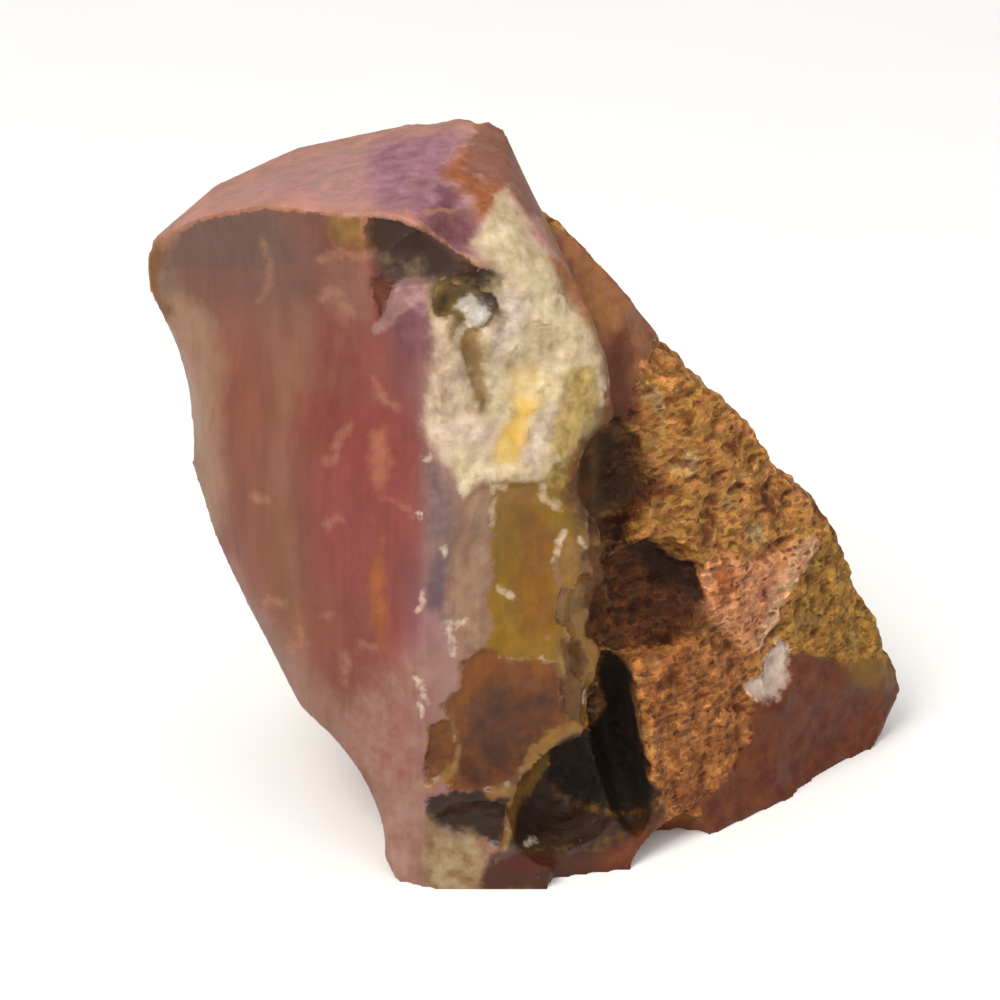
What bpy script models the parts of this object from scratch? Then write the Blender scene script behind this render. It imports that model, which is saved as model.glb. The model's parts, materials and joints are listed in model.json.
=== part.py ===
"""A chunk of petrified wood: one broken block of agatised trunk, standing on a flat break.

The block is built as it formed. Two billets, a dense agate core and a leaning slab of crumbly outer wood,
are the convex hulls of their named corners. They are fused, then spalls are struck from them with
ellipsoid cutters. Last the weathered faces are eased, and the skin is roughened where it is crust and left
smooth where it is agate.

Metres, +Z up. Sizes below are in millimetres. X runs along the block, -Y is its front.
"""

import math

import bmesh
import bpy
from mathutils import Matrix, Vector, noise
from mathutils.bvhtree import BVHTree

MM = 0.001
NAME = "petrified_wood_chunk"
STONE_COLOUR = (0.27, 0.11, 0.07, 1.0)
STONE_ROUGHNESS = 0.45

# Skin: the grid that the fused block is drawn on, and the triangles that it keeps.
SKIN_GRID = 0.7
SKIN_TRIANGLES = 8600

# Corners of the agate core: its foot, its shin, the nose and lip of the top, the ridge and the back.
CORE_CORNERS = {
    "foot_left": (-10.5, -14.5, 0),
    "foot_middle": (-8, -15.5, 0),
    "foot_right": (0, -15.5, 0),
    "heel_left": (-8, 10, 0),
    "heel_right": (10, 13, 0),
    "shin_front": (-10.5, -14, 3.5),
    "shin_low": (-13, -11.5, 4.5),
    "shin_high": (-14.5, -10, 8),
    "nose_under": (-28.5, 1, 37.5),
    "nose_over": (-27, 0.5, 42),
    "lip_left": (-23, -3.5, 45),
    "lip_middle": (-18.5, -7, 47),
    "lip_right": (-10, -11, 47.5),
    "spine_top": (-7.5, -12, 47),
    "crown_left": (-23, 5, 44.5),
    "crown_middle": (-17.5, 7, 46.5),
    "crown_right": (-10, 7, 48),
    "summit": (-4.5, 4, 49.5),
    "summit_right": (-3, 3, 49),
    "summit_front": (-2.5, -5, 47.5),
    "ridge_high": (0.5, -7.5, 43.5),
    "ridge_bend": (3, -8.5, 39.5),
    "ridge_brow": (4, -9, 34),
    "ridge_middle": (3.5, -11, 24.5),
    "ridge_low": (3, -12, 16.5),
    "ridge_hem": (2, -14, 9.5),
    "back_left": (-22, 10, 33),
    "back_low": (-14, 13, 12),
    "back_top": (-8, 11, 45),
}

# The overhanging left edge bows out from its knee to its neck, and a narrow bevel, the cheek, runs beside it.
EDGE_KNEE = Vector((-18, -7, 11.5))
EDGE_NECK = Vector((-26, -1, 31.5))
EDGE_BOW = Vector((-1.4, 1, 0))
EDGE_CORNERS = 5
CHEEK_STEP = Vector((2, -2.5, 1.2))

# Corners of the crust: the slab of weathered wood that leans against the core's right side.
CRUST_CORNERS = {
    "toe_left": (-1, -14.5, 0),
    "toe_front": (6, -13, 0),
    "toe_middle": (12.5, -8, 0),
    "toe_right": (24, 1.5, 0),
    "corner_foot": (26, 6.5, 0),
    "corner_nose": (27.5, 7, 3.5),
    "corner_top": (26.5, 6, 7.5),
    "slope_low": (23, 4.5, 13.5),
    "slope_middle": (21, 3.5, 18.5),
    "slope_high": (15.5, 1, 25.5),
    "slope_shoulder": (11, -2, 32.5),
    "slope_neck": (7, -3, 34.5),
    "slope_top": (4.5, -2.5, 39),
    "slope_crown": (2.5, -2, 41.5),
    "slope_brow": (0.5, -2, 44.5),
    "rear_crown": (-6, 10, 42),
    "rear_shoulder": (6, 12, 30),
    "rear_slope": (18, 13, 17),
    "rear_corner": (23, 14, 5),
    "rear_foot": (20, 16, 0),
    "rear_heel": (0, 16, 0),
    "rear_back": (-6, 16, 10),
}

# Spalls: name, a place near the middle of the scar, direction that it faces (degrees right of the front,
# degrees up), scar width and height, depth, lean of its height towards the right in degrees, and how
# dish-like it is: 1 has steep walls, 6 is a shallow dish. It is struck into the skin nearest to its place.
SPALLS = (
    ("face_dish", (-16, -10, 24), (-34, 2), (17, 44), 0.8, -14, 8),
    ("lip_dish", (-17, -8, 41), (-33, -8), (40, 17), 1.7, 5, 5),
    ("neck_dish", (-25, -2, 33), (-62, -8), (14, 11), 0.8, 6, 5),
    ("lip_hollow", (-8, -12, 44.5), (0, -8), (10.5, 5.5), 1.6, -14, 2.2),
    ("skirt_scar", (-4, -10, 46.5), (30, 45), (7.5, 7), 0.8, 0, 4),
    ("cream_dish", (-3, -12, 36.5), (20, 8), (8.5, 13), 0.7, 12, 5),
    ("vug", (-5.5, -11.5, 42), (12, -8), (4.5, 4), 2, 0, 1.4),
    ("vug_tail", (-4.5, -12.5, 38), (14, 5), (2.5, 6), 0.9, -6, 2),
    ("olive_dish", (-2, -13.5, 23.5), (14, 5), (10, 13), 1.2, 2, 3),
    ("amber_dish", (-3, -14.5, 12.5), (8, -3), (10.5, 10), 0.9, 0, 3),
    ("crescent", (-7, -15, 10), (-12, 0), (2.5, 5.5), 0.6, 0, 2.5),
    ("undercut", (-5.5, -15.5, 5), (6, -18), (7.5, 4.5), 1.1, 0, 2.5),
    ("ridge_bite", (4.5, -9.5, 29), (62, 0), (6, 6.5), 2, 0, 2),
    ("ridge_cove", (4, -11.5, 19), (58, 0), (5.5, 7.5), 2, 0, 2),
    ("brow_recess", (5.5, -7, 27), (36, 3), (6, 11), 3.2, 4, 1.4),
    ("ledge_recess", (7.5, -8, 18.5), (26, 4), (10, 8.5), 3.4, -24, 1.15),
    ("slot", (5.5, -11.5, 9), (12, 5), (4, 14), 6, -8, 1.1),
    ("cavity", (3, -13.5, 6), (18, 6), (8, 10.5), 5.2, 42, 1.15),
    ("corner_scar", (20.5, 0, 4), (45, -4), (15, 8), 0.8, 8, 3),
    ("chip", (17, -2, 9.5), (30, 20), (2.5, 5), 0.7, 18, 2.5),
    ("toe_notch", (9, -10, 0), (20, -25), (7, 5), 2.2, 0, 2),
    ("neck_notch", (8, -4, 35), (62, 42), (8, 6), 0.7, 0, 4),
    ("heel_scoop", (-14.5, -8, 6.5), (-72, -32), (13, 9), 1, 0, 5),
    ("flank_dish", (-23, 4, 28), (-108, -12), (14, 26), 1.3, 8, 5),
    ("flank_step", (-17, 6, 12), (-104, -28), (13, 12), 1.4, -20, 3),
    ("nape_scar", (-13, 10, 40), (178, 22), (19, 13), 1.8, 12, 4),
    ("back_dish", (-10, 12, 21), (172, 0), (12, 24), 1.6, -6, 4),
    ("back_groove", (-2, 13, 27), (178, 0), (4, 25), 1.6, 5, 2),
    ("back_ledge", (8, 14, 21), (-168, 12), (9, 16), 1.8, 14, 2.4),
    ("back_hem", (13, 15, 7), (176, -4), (18, 8), 1.3, 84, 3),
    ("rear_bite", (22, 11, 12), (118, 26), (9, 9), 1.6, 0, 3),
)

# Where the agate ends and the crust begins: a bulging edge on the right, and the freshly broken corner.
CORE_BULGE = {"left": -11.5, "width": 15.5, "height": 26.0, "half_height": 28.0}
CORE_EDGE_TURN = 0.25
FRESH_CORNER = (21.5, 1.4, 3.6)
FRESH_REACH = (8.0, 8.0, 5.0)
BACK_BEGINS = (3.4, 8.4)
BACK_LEAN = 0.12

# The long face left of the spine and the old back are weathered: their scars have soft rims.
SPINE = -8.0
LEFT_FACE = (-34, 0)
SOFT_PASSES = 28

# The skin of each finish: how high its lumps stand and how wide they are.
AGATE_SWELL = (0.16, 7.0)
CRUST_LUMPS = (0.75, 4.2)
CRUST_PITS = (0.8, 2.3)
PIT_REACH = 0.42
BARK_RIDGES = (1.0, 3.4)
GRAIN_STRETCH = 2.4
BARK_STRETCH = 7.0


def direction(turn, rise):
    """The unit vector that points turn degrees right of the front and rise degrees up."""
    turn, rise = math.radians(turn), math.radians(rise)
    return Vector((math.sin(turn) * math.cos(rise), -math.cos(turn) * math.cos(rise), math.sin(rise)))


def collection(name):
    made = bpy.data.collections.new(name)
    bpy.context.scene.collection.children.link(made)
    return made


def edge_corners():
    """Corners along the bowed left edge, each with one of its cheek."""
    corners = []
    for index in range(EDGE_CORNERS):
        share = index / (EDGE_CORNERS - 1)
        corner = EDGE_KNEE.lerp(EDGE_NECK, share) + EDGE_BOW * math.sin(math.pi * share)
        corners += [corner, corner + CHEEK_STEP]
    return corners


def hull_object(name, corners, into):
    """A billet: the convex hull of its corners."""
    shape = bmesh.new()
    for corner in corners:
        shape.verts.new(Vector(corner) * MM)
    bmesh.ops.convex_hull(shape, input=shape.verts)
    bmesh.ops.recalc_face_normals(shape, faces=shape.faces)
    mesh = bpy.data.meshes.new(name)
    shape.to_mesh(mesh)
    shape.free()
    billet = bpy.data.objects.new(name, mesh)
    into.objects.link(billet)
    return billet


def skin_finder(block):
    """A search for the points of a block's skin."""
    mesh = evaluated_mesh(block)
    points = [vertex.co for vertex in mesh.vertices]
    tree = BVHTree.FromPolygons(points, [face.vertices for face in mesh.polygons])
    bpy.data.meshes.remove(mesh)
    return tree


def spall_cutter(name, near, facing, size, depth, lean, dish, skin, into):
    """An ellipsoid whose dip into the nearest skin leaves a scar of that width, height and depth."""
    centre = skin.find_nearest(Vector(near) * MM)[0] / MM
    reach = dish * depth
    rim = math.sqrt(1 - (1 - 1 / dish) ** 2)
    outward = direction(*facing)
    facing_out = outward.to_track_quat("Z", "Y").to_matrix().to_4x4()
    shape = bmesh.new()
    bmesh.ops.create_icosphere(shape, subdivisions=4, radius=1.0)
    bmesh.ops.scale(shape, verts=shape.verts, vec=(size[0] / 2 / rim, size[1] / 2 / rim, reach))
    turned = facing_out @ Matrix.Rotation(math.radians(-lean), 4, "Z")
    placed = Matrix.Translation(centre + outward * (reach - depth)) @ turned
    bmesh.ops.transform(shape, matrix=Matrix.Scale(MM, 4) @ placed, verts=shape.verts)
    mesh = bpy.data.meshes.new(name)
    shape.to_mesh(mesh)
    shape.free()
    cutter = bpy.data.objects.new(name, mesh)
    into.objects.link(cutter)
    return cutter


def hide_helper(helper):
    helper.hide_render = True
    helper.display_type = "WIRE"


def evaluated_mesh(source):
    graph = bpy.context.evaluated_depsgraph_get()
    return bpy.data.meshes.new_from_object(source.evaluated_get(graph), depsgraph=graph)


def smooth_step(low, high, value):
    share = min(1.0, max(0.0, (value - low) / (high - low)))
    return share * share * (3 - 2 * share)


def core_edge(height):
    """How far right the agate core reaches at that height: its edge bulges in the middle."""
    share = (height - CORE_BULGE["height"]) / CORE_BULGE["half_height"]
    return CORE_BULGE["left"] + CORE_BULGE["width"] * math.sqrt(max(0.0, 1 - share * share))


def back_share(point):
    """How far round the back of the block a point lies, where the outer wood shows its bark-like ridges."""
    return smooth_step(*BACK_BEGINS, point.y - BACK_LEAN * (point.z - CORE_BULGE["height"]))


def crust_share(point):
    """How crusty the skin is there: 1 on the weathered wood, 0 on the agate, and on the flat break below."""
    past_edge = point.x - core_edge(point.z) + CORE_EDGE_TURN * (point.y + 9.6)
    right = smooth_step(0.2, 2.0, past_edge)
    from_corner = [(here - there) / reach for here, there, reach in zip(point, FRESH_CORNER, FRESH_REACH)]
    old_corner = smooth_step(0.75, 1.15, Vector(from_corner).length)
    return max(right, back_share(point)) * old_corner * smooth_step(0.3, 2.0, point.z)


def skin_height(point, crust, back):
    """How far the finished skin stands out of the struck block."""
    along_grain = Vector((point.x, point.y, point.z / GRAIN_STRETCH))
    along_bark = Vector((point.x, point.y, point.z / BARK_STRETCH))
    swell = AGATE_SWELL[0] * noise.noise(point / AGATE_SWELL[1])
    lumps = CRUST_LUMPS[0] * noise.fractal(along_grain / CRUST_LUMPS[1], 0.9, 2.2, 3)
    pits = -CRUST_PITS[0] * max(0.0, PIT_REACH - noise.voronoi(point / CRUST_PITS[1])[0][0])
    ridges = -BARK_RIDGES[0] * abs(noise.noise(along_bark / BARK_RIDGES[1]))
    return (1 - crust) * swell + crust * (lumps + pits + back * ridges)


def is_soft(point, normal):
    """True on the long left face, short of its edges, and on the back."""
    left_face = point.x < SPINE - 1.5 and normal.dot(direction(*LEFT_FACE)) > 0.86
    back = normal.y > 0.6
    return point.z > 1.0 and (left_face or back)


def soften(shape):
    """Eases the rims of the scars where the stone is weathered."""
    soft = [vertex for vertex in shape.verts if is_soft(vertex.co / MM, vertex.normal)]
    for _ in range(SOFT_PASSES):
        bmesh.ops.smooth_vert(
            shape, verts=soft, factor=0.5, use_axis_x=True, use_axis_y=True, use_axis_z=True
        )


def roughen(shape):
    """Moves each point of the skin along its own normal, and leaves the flat break that it stands on."""
    shape.normal_update()
    for vertex in shape.verts:
        point = vertex.co / MM
        above = smooth_step(0.2, 1.5, point.z)
        lift = above * skin_height(point, crust_share(point), back_share(point))
        vertex.co += vertex.normal * (lift * MM)


def stand_on_origin(mesh):
    """Puts the middle of the underside of the mesh's bounding box on the origin."""
    lows = [min(vertex.co[axis] for vertex in mesh.vertices) for axis in range(3)]
    highs = [max(vertex.co[axis] for vertex in mesh.vertices) for axis in range(3)]
    middle = Vector(((lows[0] + highs[0]) / 2, (lows[1] + highs[1]) / 2, lows[2]))
    mesh.transform(Matrix.Translation(-middle))


def stone_material():
    """Waxy red-brown agate, the commonest colour of the block."""
    material = bpy.data.materials.new("agatised_wood")
    material.use_nodes = True
    shader = material.node_tree.nodes["Principled BSDF"]
    shader.inputs["Base Color"].default_value = STONE_COLOUR
    shader.inputs["Roughness"].default_value = STONE_ROUGHNESS
    shader.inputs["Metallic"].default_value = 0.0
    return material


def weathered(mesh):
    shape = bmesh.new()
    shape.from_mesh(mesh)
    soften(shape)
    roughen(shape)
    shape.to_mesh(mesh)
    shape.free()
    return mesh


def build():
    for old in list(bpy.data.objects):
        bpy.data.objects.remove(old)
    helpers = collection("cutters")
    stone = collection(NAME + "_parts")
    core = hull_object("agate_billet", [*CORE_CORNERS.values(), *edge_corners()], helpers)
    crust = hull_object("crust_billet", CRUST_CORNERS.values(), helpers)
    fuse = core.modifiers.new("fuse", "BOOLEAN")
    fuse.operation = "UNION"
    fuse.object = crust
    fused_skin = skin_finder(core)
    strikes = collection("strikes")
    for spall in SPALLS:
        hide_helper(spall_cutter(*spall, fused_skin, strikes))
    strike = core.modifiers.new("strike", "BOOLEAN")
    strike.operation = "DIFFERENCE"
    strike.operand_type = "COLLECTION"
    strike.collection = strikes
    grid = core.modifiers.new("grid", "REMESH")
    grid.mode = "VOXEL"
    grid.voxel_size = SKIN_GRID * MM
    bpy.context.view_layer.update()
    skin = weathered(evaluated_mesh(core))
    block = bpy.data.objects.new(NAME, skin)
    stone.objects.link(block)
    skin.materials.append(stone_material())
    for helper in (core, crust):
        hide_helper(helper)
    thin = block.modifiers.new("thin", "DECIMATE")
    thin.ratio = min(1.0, SKIN_TRIANGLES / (2 * len(skin.polygons)))
    stand_on_origin(skin)
    return block


build()
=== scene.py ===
# %% [markdown]
# # A chunk of petrified wood
# A piece of trunk that turned to stone: water left silica in every cell of the wood, so the grain is
# still there as upright bands, but the material is agate. It was broken by hand, which leaves glossy,
# shell-shaped scars, and one side still has the crumbly outer wood that took up iron instead. This lesson
# cuts the same block that the solid model has, only finer, and then spends its time on the skin: the
# scars, the grains of the crust, and the colours of a stone that is stained from the inside.

import json
import math

import bmesh
import bpy
import numpy as np
from mathutils import Matrix, Vector, noise
from mathutils.bvhtree import BVHTree

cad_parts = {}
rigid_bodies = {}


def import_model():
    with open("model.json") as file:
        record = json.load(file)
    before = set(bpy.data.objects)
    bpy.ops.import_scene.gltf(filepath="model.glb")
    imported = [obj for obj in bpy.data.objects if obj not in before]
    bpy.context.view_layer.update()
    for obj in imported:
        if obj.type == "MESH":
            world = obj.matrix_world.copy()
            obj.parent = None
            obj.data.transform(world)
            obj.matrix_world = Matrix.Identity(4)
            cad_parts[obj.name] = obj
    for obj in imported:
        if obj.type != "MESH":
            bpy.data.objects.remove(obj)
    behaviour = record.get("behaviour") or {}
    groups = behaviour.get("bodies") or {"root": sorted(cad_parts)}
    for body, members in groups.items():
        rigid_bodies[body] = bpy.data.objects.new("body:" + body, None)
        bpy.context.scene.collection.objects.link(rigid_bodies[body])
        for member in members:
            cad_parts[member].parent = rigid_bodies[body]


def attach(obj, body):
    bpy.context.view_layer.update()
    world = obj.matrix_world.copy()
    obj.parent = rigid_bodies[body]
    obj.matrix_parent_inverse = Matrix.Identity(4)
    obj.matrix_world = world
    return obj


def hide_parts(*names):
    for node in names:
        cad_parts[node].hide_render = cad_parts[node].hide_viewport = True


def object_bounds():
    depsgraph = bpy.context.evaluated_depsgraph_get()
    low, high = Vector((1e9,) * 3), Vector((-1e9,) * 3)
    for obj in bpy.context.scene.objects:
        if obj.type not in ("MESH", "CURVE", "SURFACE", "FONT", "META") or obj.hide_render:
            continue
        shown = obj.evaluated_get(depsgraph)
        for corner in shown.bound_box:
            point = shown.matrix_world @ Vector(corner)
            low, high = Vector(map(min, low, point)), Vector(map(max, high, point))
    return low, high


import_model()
MM = 0.001
NODE = "petrified_wood_chunk"
solid_box = [list(corner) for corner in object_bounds()]
print("solid block, mm:", [round((high - low) / MM, 1) for low, high in zip(*solid_box)])

# %% [markdown]
# ## The camera, the table and the light
# A stone this small is looked at from about 20 cm, a little from above. A long lens keeps its edges
# straight. The table is plain and pale, and lit evenly from a wide white ceiling. One large soft lamp,
# the window, stands high on the left and gives the scars their soft highlights, while the deep slot stays
# dark.

# %% Set up the camera
CAMERA_TARGET = (-3.16, 0.13, 22.35)
CAMERA_DISTANCE = 198.0
CAMERA_RISE = 25.0
CAMERA_LENS = 100.0
CAMERA_CLIP = 5.0

scene = bpy.context.scene
rise = math.radians(CAMERA_RISE)
looking = Vector((0.0, math.cos(rise), -math.sin(rise)))
camera = bpy.data.objects.new("camera", bpy.data.cameras.new("camera"))
camera.data.lens = CAMERA_LENS
camera.data.clip_start = CAMERA_CLIP * MM
camera.location = (Vector(CAMERA_TARGET) - looking * CAMERA_DISTANCE) * MM
camera.rotation_euler = looking.to_track_quat("-Z", "Y").to_euler()
scene.collection.objects.link(camera)
scene.camera = camera
scene.view_settings.view_transform = "Standard"
print("camera height, mm:", round(camera.location.z / MM))

# %% Lay the table and hang the lamps
TABLE_SIDE = 6.0
WINDOW_AT = (-190, -240, 400)
WINDOW_SIZE = 220.0
WINDOW_WATTS = 1.7
WINDOW_COLOUR = (1.0, 0.96, 0.9)
CEILING_STRENGTH = 1.7
CEILING_SPREAD = 120.0
CEILING_LEAN = (25.0, 10.0, 0.0)
ROOM_LIGHT = 0.38
WHITE = (1.0, 1.0, 1.0, 1.0)


def hang_lamp(name, kind, turned, **settings):
    """A lamp of that kind, turned that way, with its settings."""
    lamp = bpy.data.objects.new(name, bpy.data.lights.new(name, kind))
    for setting, value in settings.items():
        setattr(lamp.data, setting, value)
    lamp.rotation_euler = turned
    scene.collection.objects.link(lamp)
    return lamp


to_block = Vector(CAMERA_TARGET) - Vector(WINDOW_AT)
window = hang_lamp("window", "AREA", to_block.to_track_quat("-Z", "Y").to_euler(),
                   size=WINDOW_SIZE * MM, energy=WINDOW_WATTS, color=WINDOW_COLOUR)
window.location = Vector(WINDOW_AT) * MM
hang_lamp("ceiling", "SUN", [math.radians(lean) for lean in CEILING_LEAN],
          energy=CEILING_STRENGTH, angle=math.radians(CEILING_SPREAD))

world = bpy.data.worlds.new("studio")
world.use_nodes = True
world.node_tree.nodes["Background"].inputs["Color"].default_value = WHITE
world.node_tree.nodes["Background"].inputs["Strength"].default_value = ROOM_LIGHT
scene.world = world

table_shape = bmesh.new()
bmesh.ops.create_grid(table_shape, x_segments=1, y_segments=1, size=TABLE_SIDE / 2)
table_mesh = bpy.data.meshes.new("table")
table_shape.to_mesh(table_mesh)
table_shape.free()
table = bpy.data.objects.new("table", table_mesh)
scene.collection.objects.link(table)
print("window, mm:", WINDOW_SIZE, "table side, m:", TABLE_SIDE)

# %% [markdown]
# ## The block
# A broken stone has flat faces that meet in edges, with hollows struck into them. It could be sculpted,
# but two convex hulls of named corners say the same thing in numbers that can be changed: one hull for
# the dense agate core, one for the slab of crumbly wood that leans on its right. All corners are in
# millimetres, X to the right, -Y to the front, Z up.

# %% Name the corners
CORE_CORNERS = {
    "foot_left": (-10.5, -14.5, 0),
    "foot_middle": (-8, -15.5, 0),
    "foot_right": (0, -15.5, 0),
    "heel_left": (-8, 10, 0),
    "heel_right": (10, 13, 0),
    "shin_front": (-10.5, -14, 3.5),
    "shin_low": (-13, -11.5, 4.5),
    "shin_high": (-14.5, -10, 8),
    "nose_under": (-28.5, 1, 37.5),
    "nose_over": (-27, 0.5, 42),
    "lip_left": (-23, -3.5, 45),
    "lip_middle": (-18.5, -7, 47),
    "lip_right": (-10, -11, 47.5),
    "spine_top": (-7.5, -12, 47),
    "crown_left": (-23, 5, 44.5),
    "crown_middle": (-17.5, 7, 46.5),
    "crown_right": (-10, 7, 48),
    "summit": (-4.5, 4, 49.5),
    "summit_right": (-3, 3, 49),
    "summit_front": (-2.5, -5, 47.5),
    "ridge_high": (0.5, -7.5, 43.5),
    "ridge_bend": (3, -8.5, 39.5),
    "ridge_brow": (4, -9, 34),
    "ridge_middle": (3.5, -11, 24.5),
    "ridge_low": (3, -12, 16.5),
    "ridge_hem": (2, -14, 9.5),
    "back_left": (-22, 10, 33),
    "back_low": (-14, 13, 12),
    "back_top": (-8, 11, 45),
}

# The overhanging left edge bows out between its knee and its neck, and a narrow bevel, the cheek, follows it.
EDGE_KNEE = Vector((-18, -7, 11.5))
EDGE_NECK = Vector((-26, -1, 31.5))
EDGE_BOW = Vector((-1.4, 1, 0))
EDGE_CORNERS = 5
CHEEK_STEP = Vector((2, -2.5, 1.2))

# The slab of crumbly outer wood leans on the right side of the core.
CRUST_CORNERS = {
    "toe_left": (-1, -14.5, 0),
    "toe_front": (6, -13, 0),
    "toe_middle": (12.5, -8, 0),
    "toe_right": (24, 1.5, 0),
    "corner_foot": (26, 6.5, 0),
    "corner_nose": (27.5, 7, 3.5),
    "corner_top": (26.5, 6, 7.5),
    "slope_low": (23, 4.5, 13.5),
    "slope_middle": (21, 3.5, 18.5),
    "slope_high": (15.5, 1, 25.5),
    "slope_shoulder": (11, -2, 32.5),
    "slope_neck": (7, -3, 34.5),
    "slope_top": (4.5, -2.5, 39),
    "slope_crown": (2.5, -2, 41.5),
    "slope_brow": (0.5, -2, 44.5),
    "rear_crown": (-6, 10, 42),
    "rear_shoulder": (6, 12, 30),
    "rear_slope": (18, 13, 17),
    "rear_corner": (23, 14, 5),
    "rear_foot": (20, 16, 0),
    "rear_heel": (0, 16, 0),
    "rear_back": (-6, 16, 10),
}


def edge_corners():
    """Corners along the bowed left edge, each with one of its cheek."""
    corners = []
    for index in range(EDGE_CORNERS):
        share = index / (EDGE_CORNERS - 1)
        corner = EDGE_KNEE.lerp(EDGE_NECK, share) + EDGE_BOW * math.sin(math.pi * share)
        corners += [corner, corner + CHEEK_STEP]
    return corners


def hull_of(name, corners):
    """The convex hull of some corners, as an object of its own."""
    shape = bmesh.new()
    for corner in corners:
        shape.verts.new(corner)
    bmesh.ops.convex_hull(shape, input=shape.verts)
    bmesh.ops.recalc_face_normals(shape, faces=shape.faces)
    mesh = bpy.data.meshes.new(name)
    shape.to_mesh(mesh)
    shape.free()
    billet = bpy.data.objects.new(name, mesh)
    scene.collection.objects.link(billet)
    return billet


core_billet = hull_of("core_billet", [*CORE_CORNERS.values(), *edge_corners()])
crust_billet = hull_of("crust_billet", CRUST_CORNERS.values())
print("hull faces:", len(core_billet.data.polygons), len(crust_billet.data.polygons))

# %% [markdown]
# ## The spalls
# Agate breaks like thick glass: each blow lifts a flake and leaves a shallow shell-shaped dish. An
# ellipsoid that dips into the face cuts exactly that. Each one is named, with a place near the middle of
# its scar, the way it faces (degrees right of the front, degrees up), its width and height, its depth,
# its lean to the right in degrees, and how dish-like it is: 1 has steep walls and 6 is a shallow dish. It
# is struck into the skin nearest to its place, so the places needn't be exact.

# %% Strike the large spalls
SPALLS = (
    ("face_dish", (-16, -10, 24), (-34, 2), (17, 44), 0.8, -14, 8),
    ("lip_dish", (-17, -8, 41), (-33, -8), (40, 17), 1.7, 5, 5),
    ("neck_dish", (-25, -2, 33), (-62, -8), (14, 11), 0.8, 6, 5),
    ("lip_hollow", (-8, -12, 44.5), (0, -8), (10.5, 5.5), 1.6, -14, 2.2),
    ("skirt_scar", (-4, -10, 46.5), (30, 45), (7.5, 7), 0.8, 0, 4),
    ("cream_dish", (-3, -12, 36.5), (20, 8), (8.5, 13), 0.7, 12, 5),
    ("vug", (-5.5, -11.5, 42), (12, -8), (4.5, 4), 2, 0, 1.4),
    ("vug_tail", (-4.5, -12.5, 38), (14, 5), (2.5, 6), 0.9, -6, 2),
    ("olive_dish", (-2, -13.5, 23.5), (14, 5), (10, 13), 1.2, 2, 3),
    ("amber_dish", (-3, -14.5, 12.5), (8, -3), (10.5, 10), 0.9, 0, 3),
    ("crescent", (-7, -15, 10), (-12, 0), (2.5, 5.5), 0.6, 0, 2.5),
    ("undercut", (-5.5, -15.5, 5), (6, -18), (7.5, 4.5), 1.1, 0, 2.5),
    ("ridge_bite", (4.5, -9.5, 29), (62, 0), (6, 6.5), 2, 0, 2),
    ("ridge_cove", (4, -11.5, 19), (58, 0), (5.5, 7.5), 2, 0, 2),
    ("brow_recess", (5.5, -7, 27), (36, 3), (6, 11), 3.2, 4, 1.4),
    ("ledge_recess", (7.5, -8, 18.5), (26, 4), (10, 8.5), 3.4, -24, 1.15),
    ("slot", (5.5, -11.5, 9), (12, 5), (4, 14), 6, -8, 1.1),
    ("cavity", (3, -13.5, 6), (18, 6), (8, 10.5), 5.2, 42, 1.15),
    ("corner_scar", (20.5, 0, 4), (45, -4), (15, 8), 0.8, 8, 3),
    ("chip", (17, -2, 9.5), (30, 20), (2.5, 5), 0.7, 18, 2.5),
    ("toe_notch", (9, -10, 0), (20, -25), (7, 5), 2.2, 0, 2),
    ("neck_notch", (8, -4, 35), (62, 42), (8, 6), 0.7, 0, 4),
    ("heel_scoop", (-14.5, -8, 6.5), (-72, -32), (13, 9), 1, 0, 5),
    ("flank_dish", (-23, 4, 28), (-108, -12), (14, 26), 1.3, 8, 5),
    ("flank_step", (-17, 6, 12), (-104, -28), (13, 12), 1.4, -20, 3),
    ("nape_scar", (-13, 10, 40), (178, 22), (19, 13), 1.8, 12, 4),
    ("back_dish", (-10, 12, 21), (172, 0), (12, 24), 1.6, -6, 4),
    ("back_groove", (-2, 13, 27), (178, 0), (4, 25), 1.6, 5, 2),
    ("back_ledge", (8, 14, 21), (-168, 12), (9, 16), 1.8, 14, 2.4),
    ("back_hem", (13, 15, 7), (176, -4), (18, 8), 1.3, 84, 3),
    ("rear_bite", (22, 11, 12), (118, 26), (9, 9), 1.6, 0, 3),
)
SPALL_FINENESS = 4


def direction(turn, rise):
    """The unit vector that points turn degrees right of the front and rise degrees up."""
    turn, rise = math.radians(turn), math.radians(rise)
    return Vector((math.sin(turn) * math.cos(rise), -math.cos(turn) * math.cos(rise), math.sin(rise)))


def skin_finder(block):
    """A search for the points of a block's skin as it stands."""
    bpy.context.view_layer.update()
    shape = bmesh.new()
    shape.from_object(block, bpy.context.evaluated_depsgraph_get())
    tree = BVHTree.FromBMesh(shape)
    shape.free()
    return tree


def add_flake(shape, centre, outward, size, depth, lean, dish, fineness):
    """Adds to a mesh the ellipsoid whose dip into a face leaves a scar of that width, height and depth."""
    reach = dish * depth
    rim = math.sqrt(1 - (1 - 1 / dish) ** 2)
    facing_out = outward.to_track_quat("Z", "Y").to_matrix().to_4x4()
    turned = facing_out @ Matrix.Rotation(math.radians(-lean), 4, "Z")
    placed = Matrix.Translation(centre + outward * (reach - depth)) @ turned
    sized = Matrix.Diagonal((size[0] / 2 / rim, size[1] / 2 / rim, reach, 1.0))
    bmesh.ops.create_icosphere(shape, subdivisions=fineness, radius=1.0, matrix=placed @ sized)


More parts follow.
